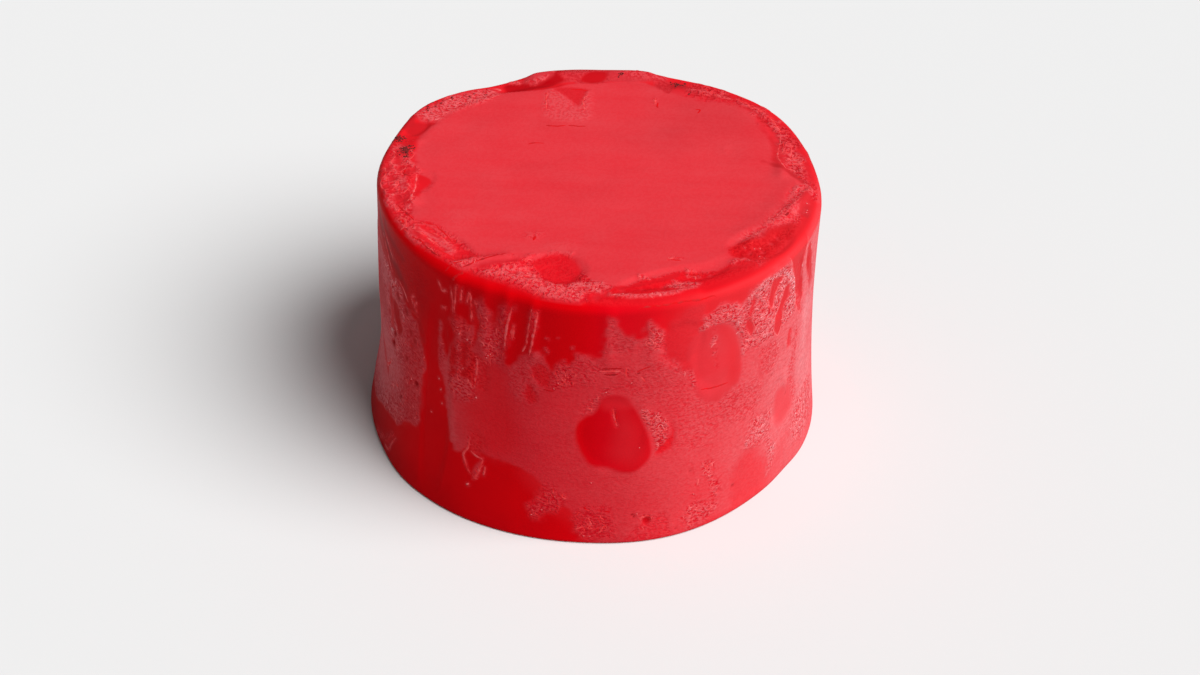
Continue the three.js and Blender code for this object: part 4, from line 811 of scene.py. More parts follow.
# The flecks of the small things, and what is the same all over each material
CRUMB_FLECKS = dict(size=0.5, detail=2.0)
CRYSTAL_FLECKS = dict(size=0.6, detail=1.0)
CREAM_SHADER = {"Specular IOR Level": 0.01}
CRUMB_SHADER = {"Roughness": 0.8, "Specular IOR Level": 0.2}
CRYSTAL_SHADER = {"Roughness": 0.3}
FLOOR_SHADER = {"Roughness": 0.9, "Specular IOR Level": 0.0}

CREAM_RED = (0.68, 0.0004, 0.003, 1)
CREAM_DULL_AND_SHEEN = (0.62, 0.001, 0.010, 1)
CREAM_DEEP = (0.24, 0.000, 0.003, 1)
FROST_PALE = (0.80, 0.55, 0.58, 1)
CRUMB_DARK = (0.045, 0.003, 0.004, 1)
CRUMB_BROWN = (0.260, 0.018, 0.018, 1)
# The crystals run from red to pale; the pale is partly a painted glint
CRYSTAL_RED = (0.66, 0.045, 0.055, 1)
CRYSTAL_PALE_GLINT = (0.72, 0.13, 0.14, 1)
FLOOR_PALE = (0.68, 0.68, 0.68, 1)

# The camera of the photograph, in the same frame before the cake is centred
CAMERA_PLACE = (-1.7, -418.6, 333.9)
CAMERA_PITCH = 36.82
CAMERA_YAW = 0.45
CAMERA_ROLL = 2.76
CAMERA_LENS = 55.5
CAMERA_REACH = 20
SENSOR_WIDTH = 36

KEY_BEARING = 65
KEY_HEIGHT = 51
KEY_SOFTNESS = 48
KEY_STRENGTH = 4.55
SKY_STRENGTH = 0.15
FLOOR_SIZE = 6


def bell(distance, spread):
    return np.exp(-((distance / spread) ** 2))


def ramp(value, low, high):
    """0 below low, 1 above high, and smooth between."""
    t = np.clip((value - low) / (high - low), 0, 1)
    return t * t * (3 - 2 * t)


def turn_between(bearing, other):
    return (bearing - other + 180) % 360 - 180


def swell(swells, bearing):
    return sum(out * bell(turn_between(bearing, at), spread) for at, spread, out in swells)


def cut_at(bearing):
    return bell(turn_between(bearing, RIM_CUT["bearing"]), RIM_CUT["spread"])


def wall_radius(bearing, z):
    rim = RIM_RADIUS + swell(RIM_SWELLS, bearing)
    foot = FOOT_RADIUS + swell(FOOT_SWELLS, bearing)
    flare = (foot - rim) * np.clip(1 - z / HEIGHT, 0, 1) ** FLARE_POWER
    pinch = bell(turn_between(bearing, WAIST["bearing"]), WAIST["spread"])
    return rim + flare - WAIST["deep"] * pinch * bell(z - WAIST["z"], WAIST["tall"])


def dent(distance):
    return 1 - ramp(distance, *HOLLOW_EDGE)


def wall_relief(bearing, z):
    relief = np.zeros_like(bearing + z)
    for at, height, wide, tall, deep in WALL_HOLLOWS:
        across = turn_between(bearing, at) / wide
        relief -= deep * dent(np.hypot(across, (z - height) / tall))
    for at, low, high, wide, proud in WALL_DRIPS:
        past = np.maximum(np.maximum(low - z, z - high), 0)
        relief += proud * bell(turn_between(bearing, at), wide) * bell(past, DRIP_FADE)
    return relief * ramp(z, 0, FOOT_PLAIN)


def distance_to_stretch(x, y, start, end):
    dx, dy = end[0] - start[0], end[1] - start[1]
    along = np.clip(((x - start[0]) * dx + (y - start[1]) * dy) / (dx * dx + dy * dy), 0, 1)
    return np.hypot(x - start[0] - along * dx, y - start[1] - along * dy)


def top_relief(x, y):
    radius = np.hypot(x, y)
    edge = PLATE_RADIUS + swell(PLATE_EDGE, np.degrees(np.arctan2(x, -y)))
    inside = 1 - ramp(radius, edge - PLATE_EDGE_WIDTH, edge + PLATE_EDGE_WIDTH)
    relief = -PLATE_RISE * (1 - inside)
    for start, end, wide, high in TOP_FOLDS:
        relief += high * bell(distance_to_stretch(x, y, start, end), wide)
    for at, long, wide, turn, deep in TOP_HOLLOWS:
        cos, sin = np.cos(np.radians(turn)), np.sin(np.radians(turn))
        dx, dy = x - at[0], y - at[1]
        along, across = (dx * cos + dy * sin) / long, (dy * cos - dx * sin) / wide
        relief -= deep * dent(np.hypot(along, across))
    return relief


def place(bearing, radius, z):
    lean = np.clip(z / HEIGHT, 0, 1) ** SHIFT_POWER
    angle = np.radians(bearing)
    x = TOP_SHIFT[0] * lean + radius * np.sin(angle)
    y = TOP_SHIFT[1] * lean - radius * np.cos(angle)
    return np.stack([x, y, z + np.zeros_like(x)], -1)


def lip_round(bearing):
    return LIP_ROUND + swell(LIP_CHANGES, bearing)


def wall_point(bearing, share):
    top = HEIGHT - lip_round(bearing) - RIM_CUT["drop"] * cut_at(bearing)
    z = FOOT_ROUND + (top - FOOT_ROUND) * share
    return place(bearing, wall_radius(bearing, z) + wall_relief(bearing, z), z)


def lip_point(bearing, share):
    round_ = lip_round(bearing)
    cut = cut_at(bearing)
    angle = share * np.pi / 2
    bottom = HEIGHT - round_ - RIM_CUT["drop"] * cut
    outer = wall_radius(bearing, bottom) - RIM_CUT["inward"] * cut * np.sin(angle)
    point = place(bearing, outer - round_ * (1 - np.cos(angle)), bottom + round_ * np.sin(angle))
    side = wall_relief(bearing, bottom) * (1 - share)
    point[:, 0] += side * np.sin(np.radians(bearing))
    point[:, 1] -= side * np.cos(np.radians(bearing))
    point[:, 2] += top_relief(point[:, 0], point[:, 1]) * share ** 2
    return point


def top_point(bearing, inset, share=1.0):
    edge = lip_point(bearing, 1)
    full = np.hypot(edge[:, 0] - TOP_SHIFT[0], edge[:, 1] - TOP_SHIFT[1])
    radius = (full - inset) * share
    x = TOP_SHIFT[0] + radius * np.sin(np.radians(bearing))
    y = TOP_SHIFT[1] - radius * np.cos(np.radians(bearing))
    sunk = RIM_CUT["drop"] * cut_at(bearing) * bell(full - radius, RIM_CUT["reach"])
    return np.stack([x, y, HEIGHT - sunk + top_relief(x, y)], -1)


def ring_bearings(count):
    turn = np.linspace(-180, 180, count, endpoint=False)
    return turn - CLOSER * np.degrees(np.sin(np.radians(turn)))


def cake_rings():
    """Rings of points from the foot up the wall, over the lip and in over the top."""
    bearing = ring_bearings(SEGMENTS)
    foot = place(bearing, wall_radius(bearing, 0) - FOOT_ROUND, 0.0)
    rings = [foot]
    for angle in np.radians(FOOT_ANGLES):
        low = FOOT_ROUND * (1 - np.cos(angle))
        radius = wall_radius(bearing, low) - FOOT_ROUND * (1 - np.sin(angle))
        rings.append(place(bearing, radius, low))
    steps = round(HEIGHT / WALL_STEP)
    rings += [wall_point(bearing, i / steps) for i in range(steps + 1)]
    rings += [lip_point(bearing, i / LIP_STEPS) for i in range(1, LIP_STEPS + 1)]
    insets = np.arange(TOP_STEP, FINE_BAND + TOP_STEP / 2, TOP_STEP)
    rings += [top_point(bearing, inset) for inset in insets]
    bearing = ring_bearings(SEGMENTS // 2)
    shares = np.linspace(1, INNER_SHARE, MIDDLE_RINGS + 1)[1:]
    rings += [top_point(bearing, insets[-1], share) for share in shares]
    bearing = ring_bearings(SEGMENTS // 4)
    shares = np.linspace(INNER_SHARE, LAST_SHARE, INNER_RINGS + 1)[1:]
    rings += [top_point(bearing, insets[-1], share) for share in shares]
    return rings


def stitch(rings):
    """Points and outward triangles that join the rings, closed at the middle of foot and top."""
    starts = np.cumsum([0] + [len(r) for r in rings])
    faces = []
    for r in range(len(rings) - 1):
        count, step = len(rings[r]), len(rings[r]) // len(rings[r + 1])
        low = starts[r] + np.arange(0, count, step)
        low_next = starts[r] + (np.arange(0, count, step) + step) % count
        high = starts[r + 1] + np.arange(count // step)
        high_next = starts[r + 1] + (np.arange(count // step) + 1) % (count // step)
        if step == 1:
            faces += [np.stack([low, low_next, high_next], 1), np.stack([low, high_next, high], 1)]
        else:
            middle = low + 1
            faces += [np.stack([low, middle, high], 1), np.stack([middle, high_next, high], 1),
                      np.stack([middle, low_next, high_next], 1)]
    foot_middle = starts[-1]
    around = np.arange(len(rings[0]))
    faces.append(np.stack([around * 0 + foot_middle, (around + 1) % len(around), around], 1))
    around = starts[-2] + np.arange(len(rings[-1]))
    after = starts[-2] + (np.arange(len(rings[-1])) + 1) % len(rings[-1])
    faces.append(np.stack([around * 0 + foot_middle + 1, around, after], 1))
    middles = np.array([[0, 0, 0], [*TOP_SHIFT, HEIGHT]], float)
    return np.concatenate([*rings, middles]), np.concatenate(faces)


def normals_of(points, faces):
    a, b, c = (points[faces[:, i]] for i in range(3))
    across = np.cross(b - a, c - a)
    total = np.zeros_like(points)
    for i in range(3):
        np.add.at(total, faces[:, i], across)
    return total / np.maximum(np.linalg.norm(total, axis=1, keepdims=True), TINY)


class Noise:
    """Smooth random values in space, from -1 to 1, the same each run."""

    LATTICE = 48

    def __init__(self, seed):
        self.values = np.random.default_rng(seed).uniform(-1, 1, (self.LATTICE,) * 3)

    def at(self, points, size):
        p = points / size
        cell = np.floor(p).astype(int)
        t = p - cell
        t = t * t * (3 - 2 * t)
        total = np.zeros(len(points))
        for i in (0, 1):
            for j in (0, 1):
                for k in (0, 1):
                    x, y, z = ((cell + (i, j, k)) % self.LATTICE).T
                    share = (np.where(i, t[:, 0], 1 - t[:, 0]) * np.where(j, t[:, 1], 1 - t[:, 1])
                             * np.where(k, t[:, 2], 1 - t[:, 2]))
                    total += share * self.values[x, y, z]
        return total


def noise_at(points, number, size, strength):
    """Smooth random values of one size and strength. Each number has its own noise."""
    return strength * Noise(SEED + number).at(points, size)


def rounded(points, closed):
    """More points along a smooth curve through the given ones."""
    p = np.array(points, float)
    count = len(p)
    if count < 3:
        return p
    out = []
    for i in range(count if closed else count - 1):
        ids = [i - 1, i, i + 1, i + 2]
        ids = [j % count for j in ids] if closed else [min(max(j, 0), count - 1) for j in ids]
        a, b, c, d = p[ids]
        for t in np.arange(CURVE_STEPS) / CURVE_STEPS:
            out.append(0.5 * (2 * b + (c - a) * t + (2 * a - 5 * b + 4 * c - d) * t ** 2
                              + (3 * b - a - 3 * c + d) * t ** 3))
    if not closed:
        out.append(p[-1])
    return np.array(out)


def depth_inside(mark, u, v, scale):
    """How far inside a mark each place is, in mm, and below zero outside it."""
    outline = rounded(mark["outline"], mark["closed"]) * scale
    if len(outline) == 1:
        return mark["half"] - np.hypot(u - outline[0, 0], v - outline[0, 1])
    ends = np.roll(outline, -1, 0) if mark["closed"] else outline[1:]
    starts = outline if mark["closed"] else outline[:-1]
    nearest = np.full(len(u), np.inf)
    inside = np.zeros(len(u), bool)
    for a, b in zip(starts, ends):
        if np.allclose(a, b):
            continue
        nearest = np.minimum(nearest, distance_to_stretch(u, v, a, b))
        if mark["closed"] and a[1] != b[1]:
            crosses = (a[1] > v) != (b[1] > v)
            inside ^= crosses & (u < a[0] + (v - a[1]) * (b[0] - a[0]) / (b[1] - a[1]))
    if mark["closed"]:
        return np.where(inside, nearest, -nearest)
    return mark["half"] - nearest


class Coat:
    """What the cream looks like at each point: how pale, mottled, dark and proud it is."""

    def __init__(self, points):
        self.haze, self.grain, self.dark, self.rise = np.zeros((4, len(points)))
        self.wander = noise_at(points, 0, *WANDER[0]) + noise_at(points, 1, *WANDER[1])

    def blend(self, ids, share, look):
        for key in ("haze", "grain", "dark", "rise"):
            values = getattr(self, key)
            values[ids] += (look.get(key, 0) - values[ids]) * share

    def lay(self, marks, u, v, allowed, scale):
        """Lays marks one over another on the allowed places, which are at u and v in mm."""
        for mark in marks:
            # A pale strand only lays the frost that it stands in, and a dark one lays nothing
            if "strand" in mark:
                if "dark" in mark:
                    continue
                mark = dict(HALO, outline=mark["outline"], closed=False, half=mark["half"])
            outline = np.array(mark["outline"], float) * scale
            reach = mark["half"] + mark["soft"] + WANDER_MOST * mark["ragged"] + 1
            near = allowed & (u > outline[:, 0].min() - reach) & (u < outline[:, 0].max() + reach)
            near &= (v > outline[:, 1].min() - reach) & (v < outline[:, 1].max() + reach)
            ids = np.flatnonzero(near)
            if len(ids) == 0:
                continue
            depth = depth_inside(mark, u[ids], v[ids], scale)
            depth += mark["ragged"] * self.wander[ids]
            self.blend(ids, ramp(depth, -mark["soft"], mark["soft"]), mark)


def lay_unseen_wall(coat, points, bearing, z):
    """Frost on the part of the wall that the front doesn't show, by a rule."""
    rule = UNSEEN
    behind = ramp(np.abs(bearing), *rule["starts"])
    ids = np.flatnonzero(behind > 0)
    place_, turn, high, wander = points[ids], bearing[ids], z[ids], coat.wander[ids]
    flat = place_ * (1, 1, 0)
    over_drips = sum(bell(turn_between(turn, at), wide) for at, _, _, wide, _ in WALL_DRIPS)
    crest = rule["top"] + noise_at(flat, 2, *rule["broad"]) + noise_at(flat, 3, *rule["fine"])
    crest += rule["over_drip"] * over_drips + rule["crest_wander"] * wander
    foot = rule["low"] + noise_at(flat, 4, *rule["foot"]) - rule["foot_wander"] * wander
    share = ramp(crest - high, -rule["crest_soft"], rule["crest_soft"])
    share *= ramp(high - foot, -rule["foot_soft"], rule["foot_soft"])
    crust = ramp(noise_at(place_, 5, rule["crust_size"], 1), *rule["crust"])
    uneven = 1 + rule["hollow_wander"] * wander + noise_at(place_, 11, *rule["hollow"])
    for at, height, wide, tall, _ in WALL_HOLLOWS:
        size = np.hypot(turn_between(turn, at) / wide, (high - height) / tall)
        share *= ramp(size * uneven, *rule["hollow_edge"])
    haze, grain = (share * (least + more * crust) for least, more in (rule["haze"], rule["grain"]))
    coat.blend(ids, behind[ids], dict(haze=haze, grain=grain, rise=rule["rise"] * haze))


def table_at(table, bearing):
    """The value that a table of bearings gives at each bearing."""
    return np.interp(bearing, *np.array(table).T)


def coat_of(points, normals):
    """The coat over the whole cake, with its haze turned into a true share of pale colour."""
    coat = Coat(points)
    x, y, z = points.T
    bearing = np.degrees(np.arctan2(x, -y))
    upward = ramp(normals[:, 2], *FACING_UP)

    # Before any mark, the rim of the top is smeared and the wall is bare; painted shade by bearing
    # darkens the red
    smears = SMEARS["level"] + noise_at(points, 6, *SMEARS["noise"])
    smears += SMEARS["wander"] * coat.wander
    coat.haze[:] = np.clip(smears, 0, SMEARS["most"]) * upward
    coat.grain[:] = SMEARS["grain"] * upward
    bare_wall_shade, rim_dark_and_shade, lip_shade = (table_at(darks, bearing)
                                     for darks in (BARE_WALL_SHADE, RIM_DARK_AND_SHADE, LIP_SHADE))
    coat.dark[:] = bare_wall_shade * (1 - upward) + rim_dark_and_shade * upward
    on_wall = (z < HEIGHT - WALL_ENDS) | (upward < WALL_MOST_UP)
    on_top = (z > HEIGHT - TOP_BAND) & (upward > TOP_LEAST_UP)
    coat.lay(WALL_MARKS, bearing * ARC, z, on_wall, np.array([ARC, 1]))
    lay_unseen_wall(coat, points, bearing, z)
    coat.lay(TOP_MARKS, x, y, on_top, np.array([1, 1]))

    # The lip itself is bare and smooth, and painted shade darkens it towards the back
    lip = ramp(HEIGHT - z, *LIP_BAND) * (1 - upward)
    coat.haze *= 1 - LIP_BARE["haze"] * lip
    coat.grain *= 1 - LIP_BARE["grain"] * lip
    coat.dark += (lip_shade - coat.dark) * lip

    # Painted shade darkens the red in some parts of the wall
    high_up = ramp(z, UPPER_SHADE["low"], UPPER_SHADE["high"])
    at_left = bell(turn_between(bearing, UPPER_SHADE["bearing"]), UPPER_SHADE["spread"])
    painted_wall_shade = table_at(WALL_SHADE_BY_BEARING, bearing) + UPPER_SHADE["dark"] * high_up * at_left
    low_down = 1 - ramp(z, FOOT_SHADE["low"], FOOT_SHADE["high"])
    at_left = ramp(-bearing, -FOOT_SHADE["right"], -FOOT_SHADE["left"])
    painted_wall_shade += FOOT_SHADE["dark"] * low_down * at_left * (1 - ramp(-bearing, *FOOT_SHADE["ends"]))
    coat.dark += painted_wall_shade * (1 - upward) * (1 - lip)

    # The paleness of frost and bare cream by bearing carries a painted sheen
    frost, bare = table_at(FROST_HAZE_AND_SHEEN, bearing), table_at(BARE_SHEEN, bearing)
    frost += (TOP_HAZE - frost) * upward
    bare += (table_at(TOP_BARE_SHEEN, bearing) - bare) * upward
    clouds = 1 + noise_at(points * CLOUD_STRETCH, 7, *CLOUDS)
    # Painted sheen: the red is duller on the lit top and right of the front
    lit_right_or_top = np.maximum(ramp(bearing, DULL_AND_SHEEN["low"], DULL_AND_SHEEN["high"]), upward)
    coat.creased = np.clip(coat.haze, 0, 1) * (1 - upward)
    coat.dull = np.clip(coat.haze + DULL_AND_SHEEN["share"] * lit_right_or_top, 0, 1)
    coat.haze = np.maximum(bare + (frost - bare) * coat.haze * clouds, 0)
    return coat


def mesh_from(name, points, faces, attributes=None, smooth=True):
    mesh = bpy.data.meshes.new(name)
    mesh.from_pydata(points.tolist(), [], faces.tolist())
    mesh.update()
    if smooth:
        mesh.shade_smooth()
    for key, values in (attributes or {}).items():
        layer = mesh.attributes.new(key, "FLOAT", "POINT")
        layer.data.foreach_set("value", np.asarray(values, np.float32))
    piece = bpy.data.objects.new(name, mesh)
    bpy.context.scene.collection.objects.link(piece)
    return piece


class Surface:
    """The finished coat, with its middle over the origin, for small things to stand on."""

    def __init__(self, points, faces, coat, centre):
        self.points = points
        self.normals = normals_of(points, faces)
        self.coat = coat
        self.centre = Vector((centre[0], centre[1], 0))
        self.tree = BVHTree.FromPolygons(points.tolist(), faces.tolist())

    def on_wall(self, bearing, z):
        angle = np.radians(bearing)
        out = Vector((np.sin(angle), -np.cos(angle), 0))
        start = out * 2 * FOOT_RADIUS + Vector((0, 0, z)) - self.centre
        return self.tree.ray_cast(start, -out)[:2] if z < HEIGHT - WALL_SEATS_END else (None, None)

    def on_top(self, x, y):
        start = Vector((x, y, 2 * HEIGHT)) - self.centre
        seat, normal = self.tree.ray_cast(start, Vector((0, 0, -1)))[:2]
        return (seat, normal) if seat and seat.z > HEIGHT - TOP_SEATS_END else (None, None)

    def nearest(self, point):
        return self.tree.find_nearest(Vector(point))[:2]


def make_cake():
    """The cream covered cake, and its surface."""
    points, faces = stitch(cake_rings())
    centre = (points.min(0) + points.max(0)) / 2
    normals = normals_of(points, faces)
    coat = coat_of(points, normals)
    fine = coat.grain * noise_at(points, 8, *FINE_RELIEF)
    facing = ramp(normals[:, 2], *SWEEP_FACING)
    sweep = noise_at(points * SWEEP_STRETCH, 9, *SWEEP_RELIEF) * facing
    sway = noise_at(points, 10, *SWAY_RELIEF)
    keep = ramp(points[:, 2], *RELIEF_STARTS)
    points = points + normals * ((coat.rise + fine + sweep + sway) * keep)[:, None]
    points[:, :2] -= centre[:2]
    looks = {key: getattr(coat, key) for key in COAT_LOOKS}
    piece = mesh_from("red_cream_coat", points * MM, faces, looks)
    return piece, Surface(points, faces, coat, centre)


def strand(path, normals, half, tall, rng):
    """Points, triangles and paleness of a thin uneven tube along a path, closed at its ends."""
    along = np.gradient(path, axis=0)
    side = np.cross(normals, along)
    side /= np.maximum(np.linalg.norm(side, axis=1, keepdims=True), TINY)
    uneven = np.convolve(rng.uniform(-1, 1, len(path) + 2), STRAND_BLUR, "valid")
    to_ends = np.abs(np.linspace(-1, 1, len(path))) ** END_POWER
    width = np.sqrt(1 - END_NARROWER * to_ends) * (1 + STRAND_WIDER * uneven)
    angles = np.pi / 2 + np.arange(STRAND_SIDES) * 2 * np.pi / STRAND_SIDES
    across = half * np.cos(angles)[None, :, None] * side[:, None]
    upward = tall * (np.sin(angles)[None, :, None] - STRAND_SUNK) * normals[:, None]
    rings = path[:, None] + width[:, None, None] * (across + upward)
    points = np.concatenate([rings.reshape(-1, 3), path[:1], path[-1:]])
    pale = np.concatenate([np.repeat(1 + STRAND_PALER * uneven, STRAND_SIDES), [END_PALE] * 2])
    faces = []
    last = (len(path) - 1) * STRAND_SIDES
    first_end, last_end = len(points) - 2, len(points) - 1
    for j in range(STRAND_SIDES):
        k = (j + 1) % STRAND_SIDES
        for start in range(0, last, STRAND_SIDES):
            a, b, c, d = start + j, start + k, start + STRAND_SIDES + k, start + STRAND_SIDES + j
            faces += [(a, b, c), (a, c, d)]
        faces += [(first_end, k, j), (last_end, last + j, last + k)]
    return points, np.array(faces), pale


def even_steps(route, step):
    """Points at even steps along a route."""
    along = np.concatenate([[0], np.cumsum(np.linalg.norm(np.diff(route, axis=0), axis=1))])
    steps = np.linspace(0, along[-1], max(FEWEST_STEPS, round(along[-1] / step) + 1))
    return np.stack([np.interp(steps, along, route[:, i]) for i in range(2)], 1)


def broken(route, rng):
    """Pieces of a route, with gaps between them."""
    start = 0
    pieces = []
    while start < len(route) - FEWEST_STEPS:
        length = rng.integers(*RIM_STRETCH)
        pieces.append(route[start:start + length])
        start += length + rng.integers(*RIM_GAP)
    return [piece for piece in pieces if len(piece) >= FEWEST_STEPS]


def routes_of(mark, scale, rng):
    """The routes that a mark's strands take, in mm."""
    if "rimmed" in mark:
        outline = rounded(mark["outline"], True) * scale
        return broken(even_steps(np.concatenate([outline, outline[:1]]), STRAND_STEP), rng)
    if "strand" in mark and len(mark["outline"]) > 1:
        return [even_steps(rounded(mark["outline"], False) * scale, STRAND_STEP)]
    return []


def seated(spots_, find):
    """Places and normals on the surface, without those that miss it."""
    found = [find(*spot) for spot in spots_]
    found = [(place_, normal) for place_, normal in found if place_ is not None]
    return np.array([p for p, _ in found]), np.array([n for _, n in found])


class Bundle:
    """Many small meshes gathered into one piece."""

    def __init__(self):
        self.points, self.faces, self.looks, self.count = [], [], {}, 0

    def add(self, points, faces, **looks):
        self.points.append(points)
        self.faces.append(faces + self.count)
        self.count += len(points)
        for key, values in looks.items():
            self.looks.setdefault(key, []).append(values)

    def piece(self, name, smooth=False):
        looks = {key: np.concatenate(values) for key, values in self.looks.items()}
        return mesh_from(name, np.concatenate(self.points) * MM, np.concatenate(self.faces), looks,
                         smooth)


def make_ridges(surface):
    """The thin pale ridges of the coat, their paleness partly a painted highlight, and its dark
    creases, painted shade in the folds.
    """
    rng = np.random.default_rng(SEED + 22)
    ridges = Bundle()
    for marks, scale, find in ((WALL_MARKS, ARC, surface.on_wall), (TOP_MARKS, 1, surface.on_top)):
        for mark in marks:
            look = dict(FAINT_RIDGE_HIGHLIGHT, half=RIM_HALF) if "rimmed" in mark else mark
            # A dark crease's depth of red is painted shade in the fold
            deep = look.get("dark", 0)
            tall, local_share = (CREASE_TALL, CREASE_LOCAL) if deep else (STRAND_TALL, RIDGE_LOCAL)
            for route in routes_of(mark, np.array([scale, 1]), rng):
                wobble = rng.normal(0, WOBBLE, route.shape)
                wobble[1:-1] = (wobble[:-2] + wobble[1:-1] + wobble[2:]) / 3
                path, normals = seated((route + WOBBLE_KEPT * wobble) / (scale, 1), find)
                if len(path) < FEWEST_STEPS:
                    continue
                points, faces, pale = strand(path, normals, look["half"], tall, rng)
                local = TOP_HAZE if scale == 1 else table_at(FROST_HAZE_AND_SHEEN, route[0, 0] / ARC)
                ridges.add(points, faces, haze=pale * (look["haze"] + local_share * local),
                           dark=pale * deep)
    return ridges.piece("cream_ridge_highlights_and_crease_shades")


def grained_places(surface, least_grain, count, rng):
    """Points of the coat at random, most where its frost is most grained."""
    coat = surface.coat
    paleness = np.clip(coat.haze / PALE_HAZE, 0, MOST_CHANCE)
    chance = np.clip(coat.grain - least_grain, 0, None) * paleness
    chance[surface.points[:, 2] < NONE_BELOW] = 0
    return rng.choice(len(chance), count, replace=False, p=chance / chance.sum())


def make_strokes(surface):
    """Short curved strands of frost."""
    rng = np.random.default_rng(SEED + 23)
    strokes = Bundle()
    for i in grained_places(surface, STROKE_GRAIN, STROKE_COUNT, rng):
        normal = surface.normals[i]
        ahead = np.cross(normal, rng.normal(0, 1, 3))
        ahead /= np.linalg.norm(ahead)
        side = np.cross(normal, ahead)
        along = np.linspace(-0.5, 0.5, STROKE_POINTS)[:, None] * rng.uniform(*STROKE_LENGTH)
        bend = along ** 2 * rng.uniform(-STROKE_BEND, STROKE_BEND)
        path = surface.points[i] + ahead * along + side * bend
        path, normals = seated([(p,) for p in path], surface.nearest)
        half = rng.uniform(*STROKE_HALF)
        points, faces, pale = strand(path, normals, half, half * STROKE_TALL, rng)
        strokes.add(points, faces, haze=pale * surface.coat.haze[i] * STROKE_PALER)
    return strokes.piece("frost_strokes")


def add_node(tree, kind, **values):
    node = tree.nodes.new(kind)
    for key, value in values.items():
        if key in node.inputs:
            node.inputs[key].default_value = value
        else:
            setattr(node, key, value)
    return node


def feed(socket, value):
    """Sets a socket to a plain number or colour, or links a shader value into it."""
    if isinstance(value, Value):
        value.tree.links.new(value.socket, socket)
    else:
        socket.default_value = value


class Value:
    """A number or colour of a shader. Each sum, product and so on adds a node for its result."""

    def __init__(self, tree, socket):
        self.tree, self.socket = tree, socket

    def math(self, operation, a, b=0.0):
        node = add_node(self.tree, "ShaderNodeMath", operation=operation)
        feed(node.inputs[0], a)
        feed(node.inputs[1], b)
        return Value(self.tree, node.outputs[0])

    def __add__(self, other):
        return self.math("ADD", self, other)

    def __radd__(self, other):
        return self.math("ADD", other, self)

    def __sub__(self, other):
        return self.math("SUBTRACT", self, other)

    def __rsub__(self, other):
        return self.math("SUBTRACT", other, self)

    def __mul__(self, other):
        return self.math("MULTIPLY", self, other)

    def __abs__(self):
        return self.math("ABSOLUTE", self)

    def at_least(self, least):
        return self.math("MAXIMUM", self, least)

    def clamped(self):
        self.socket.node.use_clamp = True
        return self


def attribute(tree, name):
    return Value(tree, add_node(tree, "ShaderNodeAttribute", attribute_name=name).outputs["Fac"])


def object_coords(tree):
    return Value(tree, add_node(tree, "ShaderNodeTexCoord").outputs["Object"])


def mix_colour(share, a, b):
    node = add_node(share.tree, "ShaderNodeMix", data_type="RGBA")
    for number, value in ((0, share), (6, a), (7, b)):
        feed(node.inputs[number], value)
    return Value(share.tree, node.outputs[2])


def noise_node(coords, size, detail=1.0, stretch=(1, 1, 1)):
    """A noise texture whose blotches are about size millimetres across."""
    mapping = add_node(coords.tree, "ShaderNodeMapping")
    mapping.inputs["Scale"].default_value = stretch
    feed(mapping.inputs["Vector"], coords)
    node = add_node(coords.tree, "ShaderNodeTexNoise", Scale=1 / (size * MM), Detail=detail)
    feed(node.inputs["Vector"], Value(coords.tree, mapping.outputs["Vector"]))
    return Value(coords.tree, node.outputs["Fac"])


def thin_lines(coords, sharp, **noise):
    """Winding lines: 1 along the middle of each, and 0 between them."""
    return (1.0 - abs(noise_node(coords, **noise) - 0.5) * sharp).clamped()


def centred_noise(coords, strength, **noise):
    return (noise_node(coords, **noise) - 0.5) * strength


def new_material(name, settings):
    """A material, its nodes, and its shader with the settings that hold all over it."""
    material = bpy.data.materials.new(name)
    material.use_nodes = True
    shader = material.node_tree.nodes["Principled BSDF"]
    for key, value in settings.items():
        shader.inputs[key].default_value = value
    return material, material.node_tree, shader


def cream_material():
    material, tree, shader = new_material("red_cream", CREAM_SHADER)
    coords = object_coords(tree)
    haze, grain, dark, creased, dull = (attribute(tree, name) for name in COAT_LOOKS)

    # Crystals: pale islands and worms with painted shade between them, where the frost is grained
    islands = (centred_noise(coords, **ISLANDS) + ISLAND_LEVEL).clamped()
    worms = thin_lines(coords, **WORMS) * WORM_PALER
    crystals = (islands * ISLAND_PALER + worms - CRYSTAL_LEVEL) * grain
    shaded_gaps = (1.0 - islands) * grain

    # Fine creases that run round the frosted wall, and its mottling
    creased = creased * (grain * CREASED_BY_GRAIN + CREASED_LEAST)
    furrows = thin_lines(coords, **FURROWS) * creased
    mottle = centred_noise(coords, **MOTTLE) * creased
    pattern = crystals + (mottle - furrows * FURROW_REDDER)

    # Broad soft changes, and fine sweeps of the spatula
    sweeps = centred_noise(coords, **SWEEPS)
    pale = (haze * (1.0 + sweeps + pattern).at_least(PALEST_LEAST)).clamped()
    # Painted light and shade of the fine relief: the red is lifted on the islands and darkened in
    # the furrows and between the islands
    dark = dark * (1.0 - islands * grain * ISLAND_LIT)
    depth = centred_noise(coords, **DEPTHS) + dark + furrows * (haze * FURROW_SHADE)
    depth = (depth + shaded_gaps * GAP_SHADE).clamped()
    # The dull red carries a painted sheen on the lit top and right
    red = mix_colour(depth, mix_colour(dull, CREAM_RED, CREAM_DULL_AND_SHEEN), CREAM_DEEP)
    feed(shader.inputs["Base Color"], mix_colour(pale, red, FROST_PALE))
    rough = CREAM_ROUGH + haze * ROUGHER_BY_HAZE + grain * ROUGHER_BY_GRAIN
    feed(shader.inputs["Roughness"], rough.clamped())

    bump = add_node(tree, "ShaderNodeBump", Strength=1.0, Distance=CREAM_BUMP * MM)
    feed(bump.inputs["Height"], pattern + sweeps)
    feed(shader.inputs["Normal"], Value(tree, bump.outputs["Normal"]))
    return material


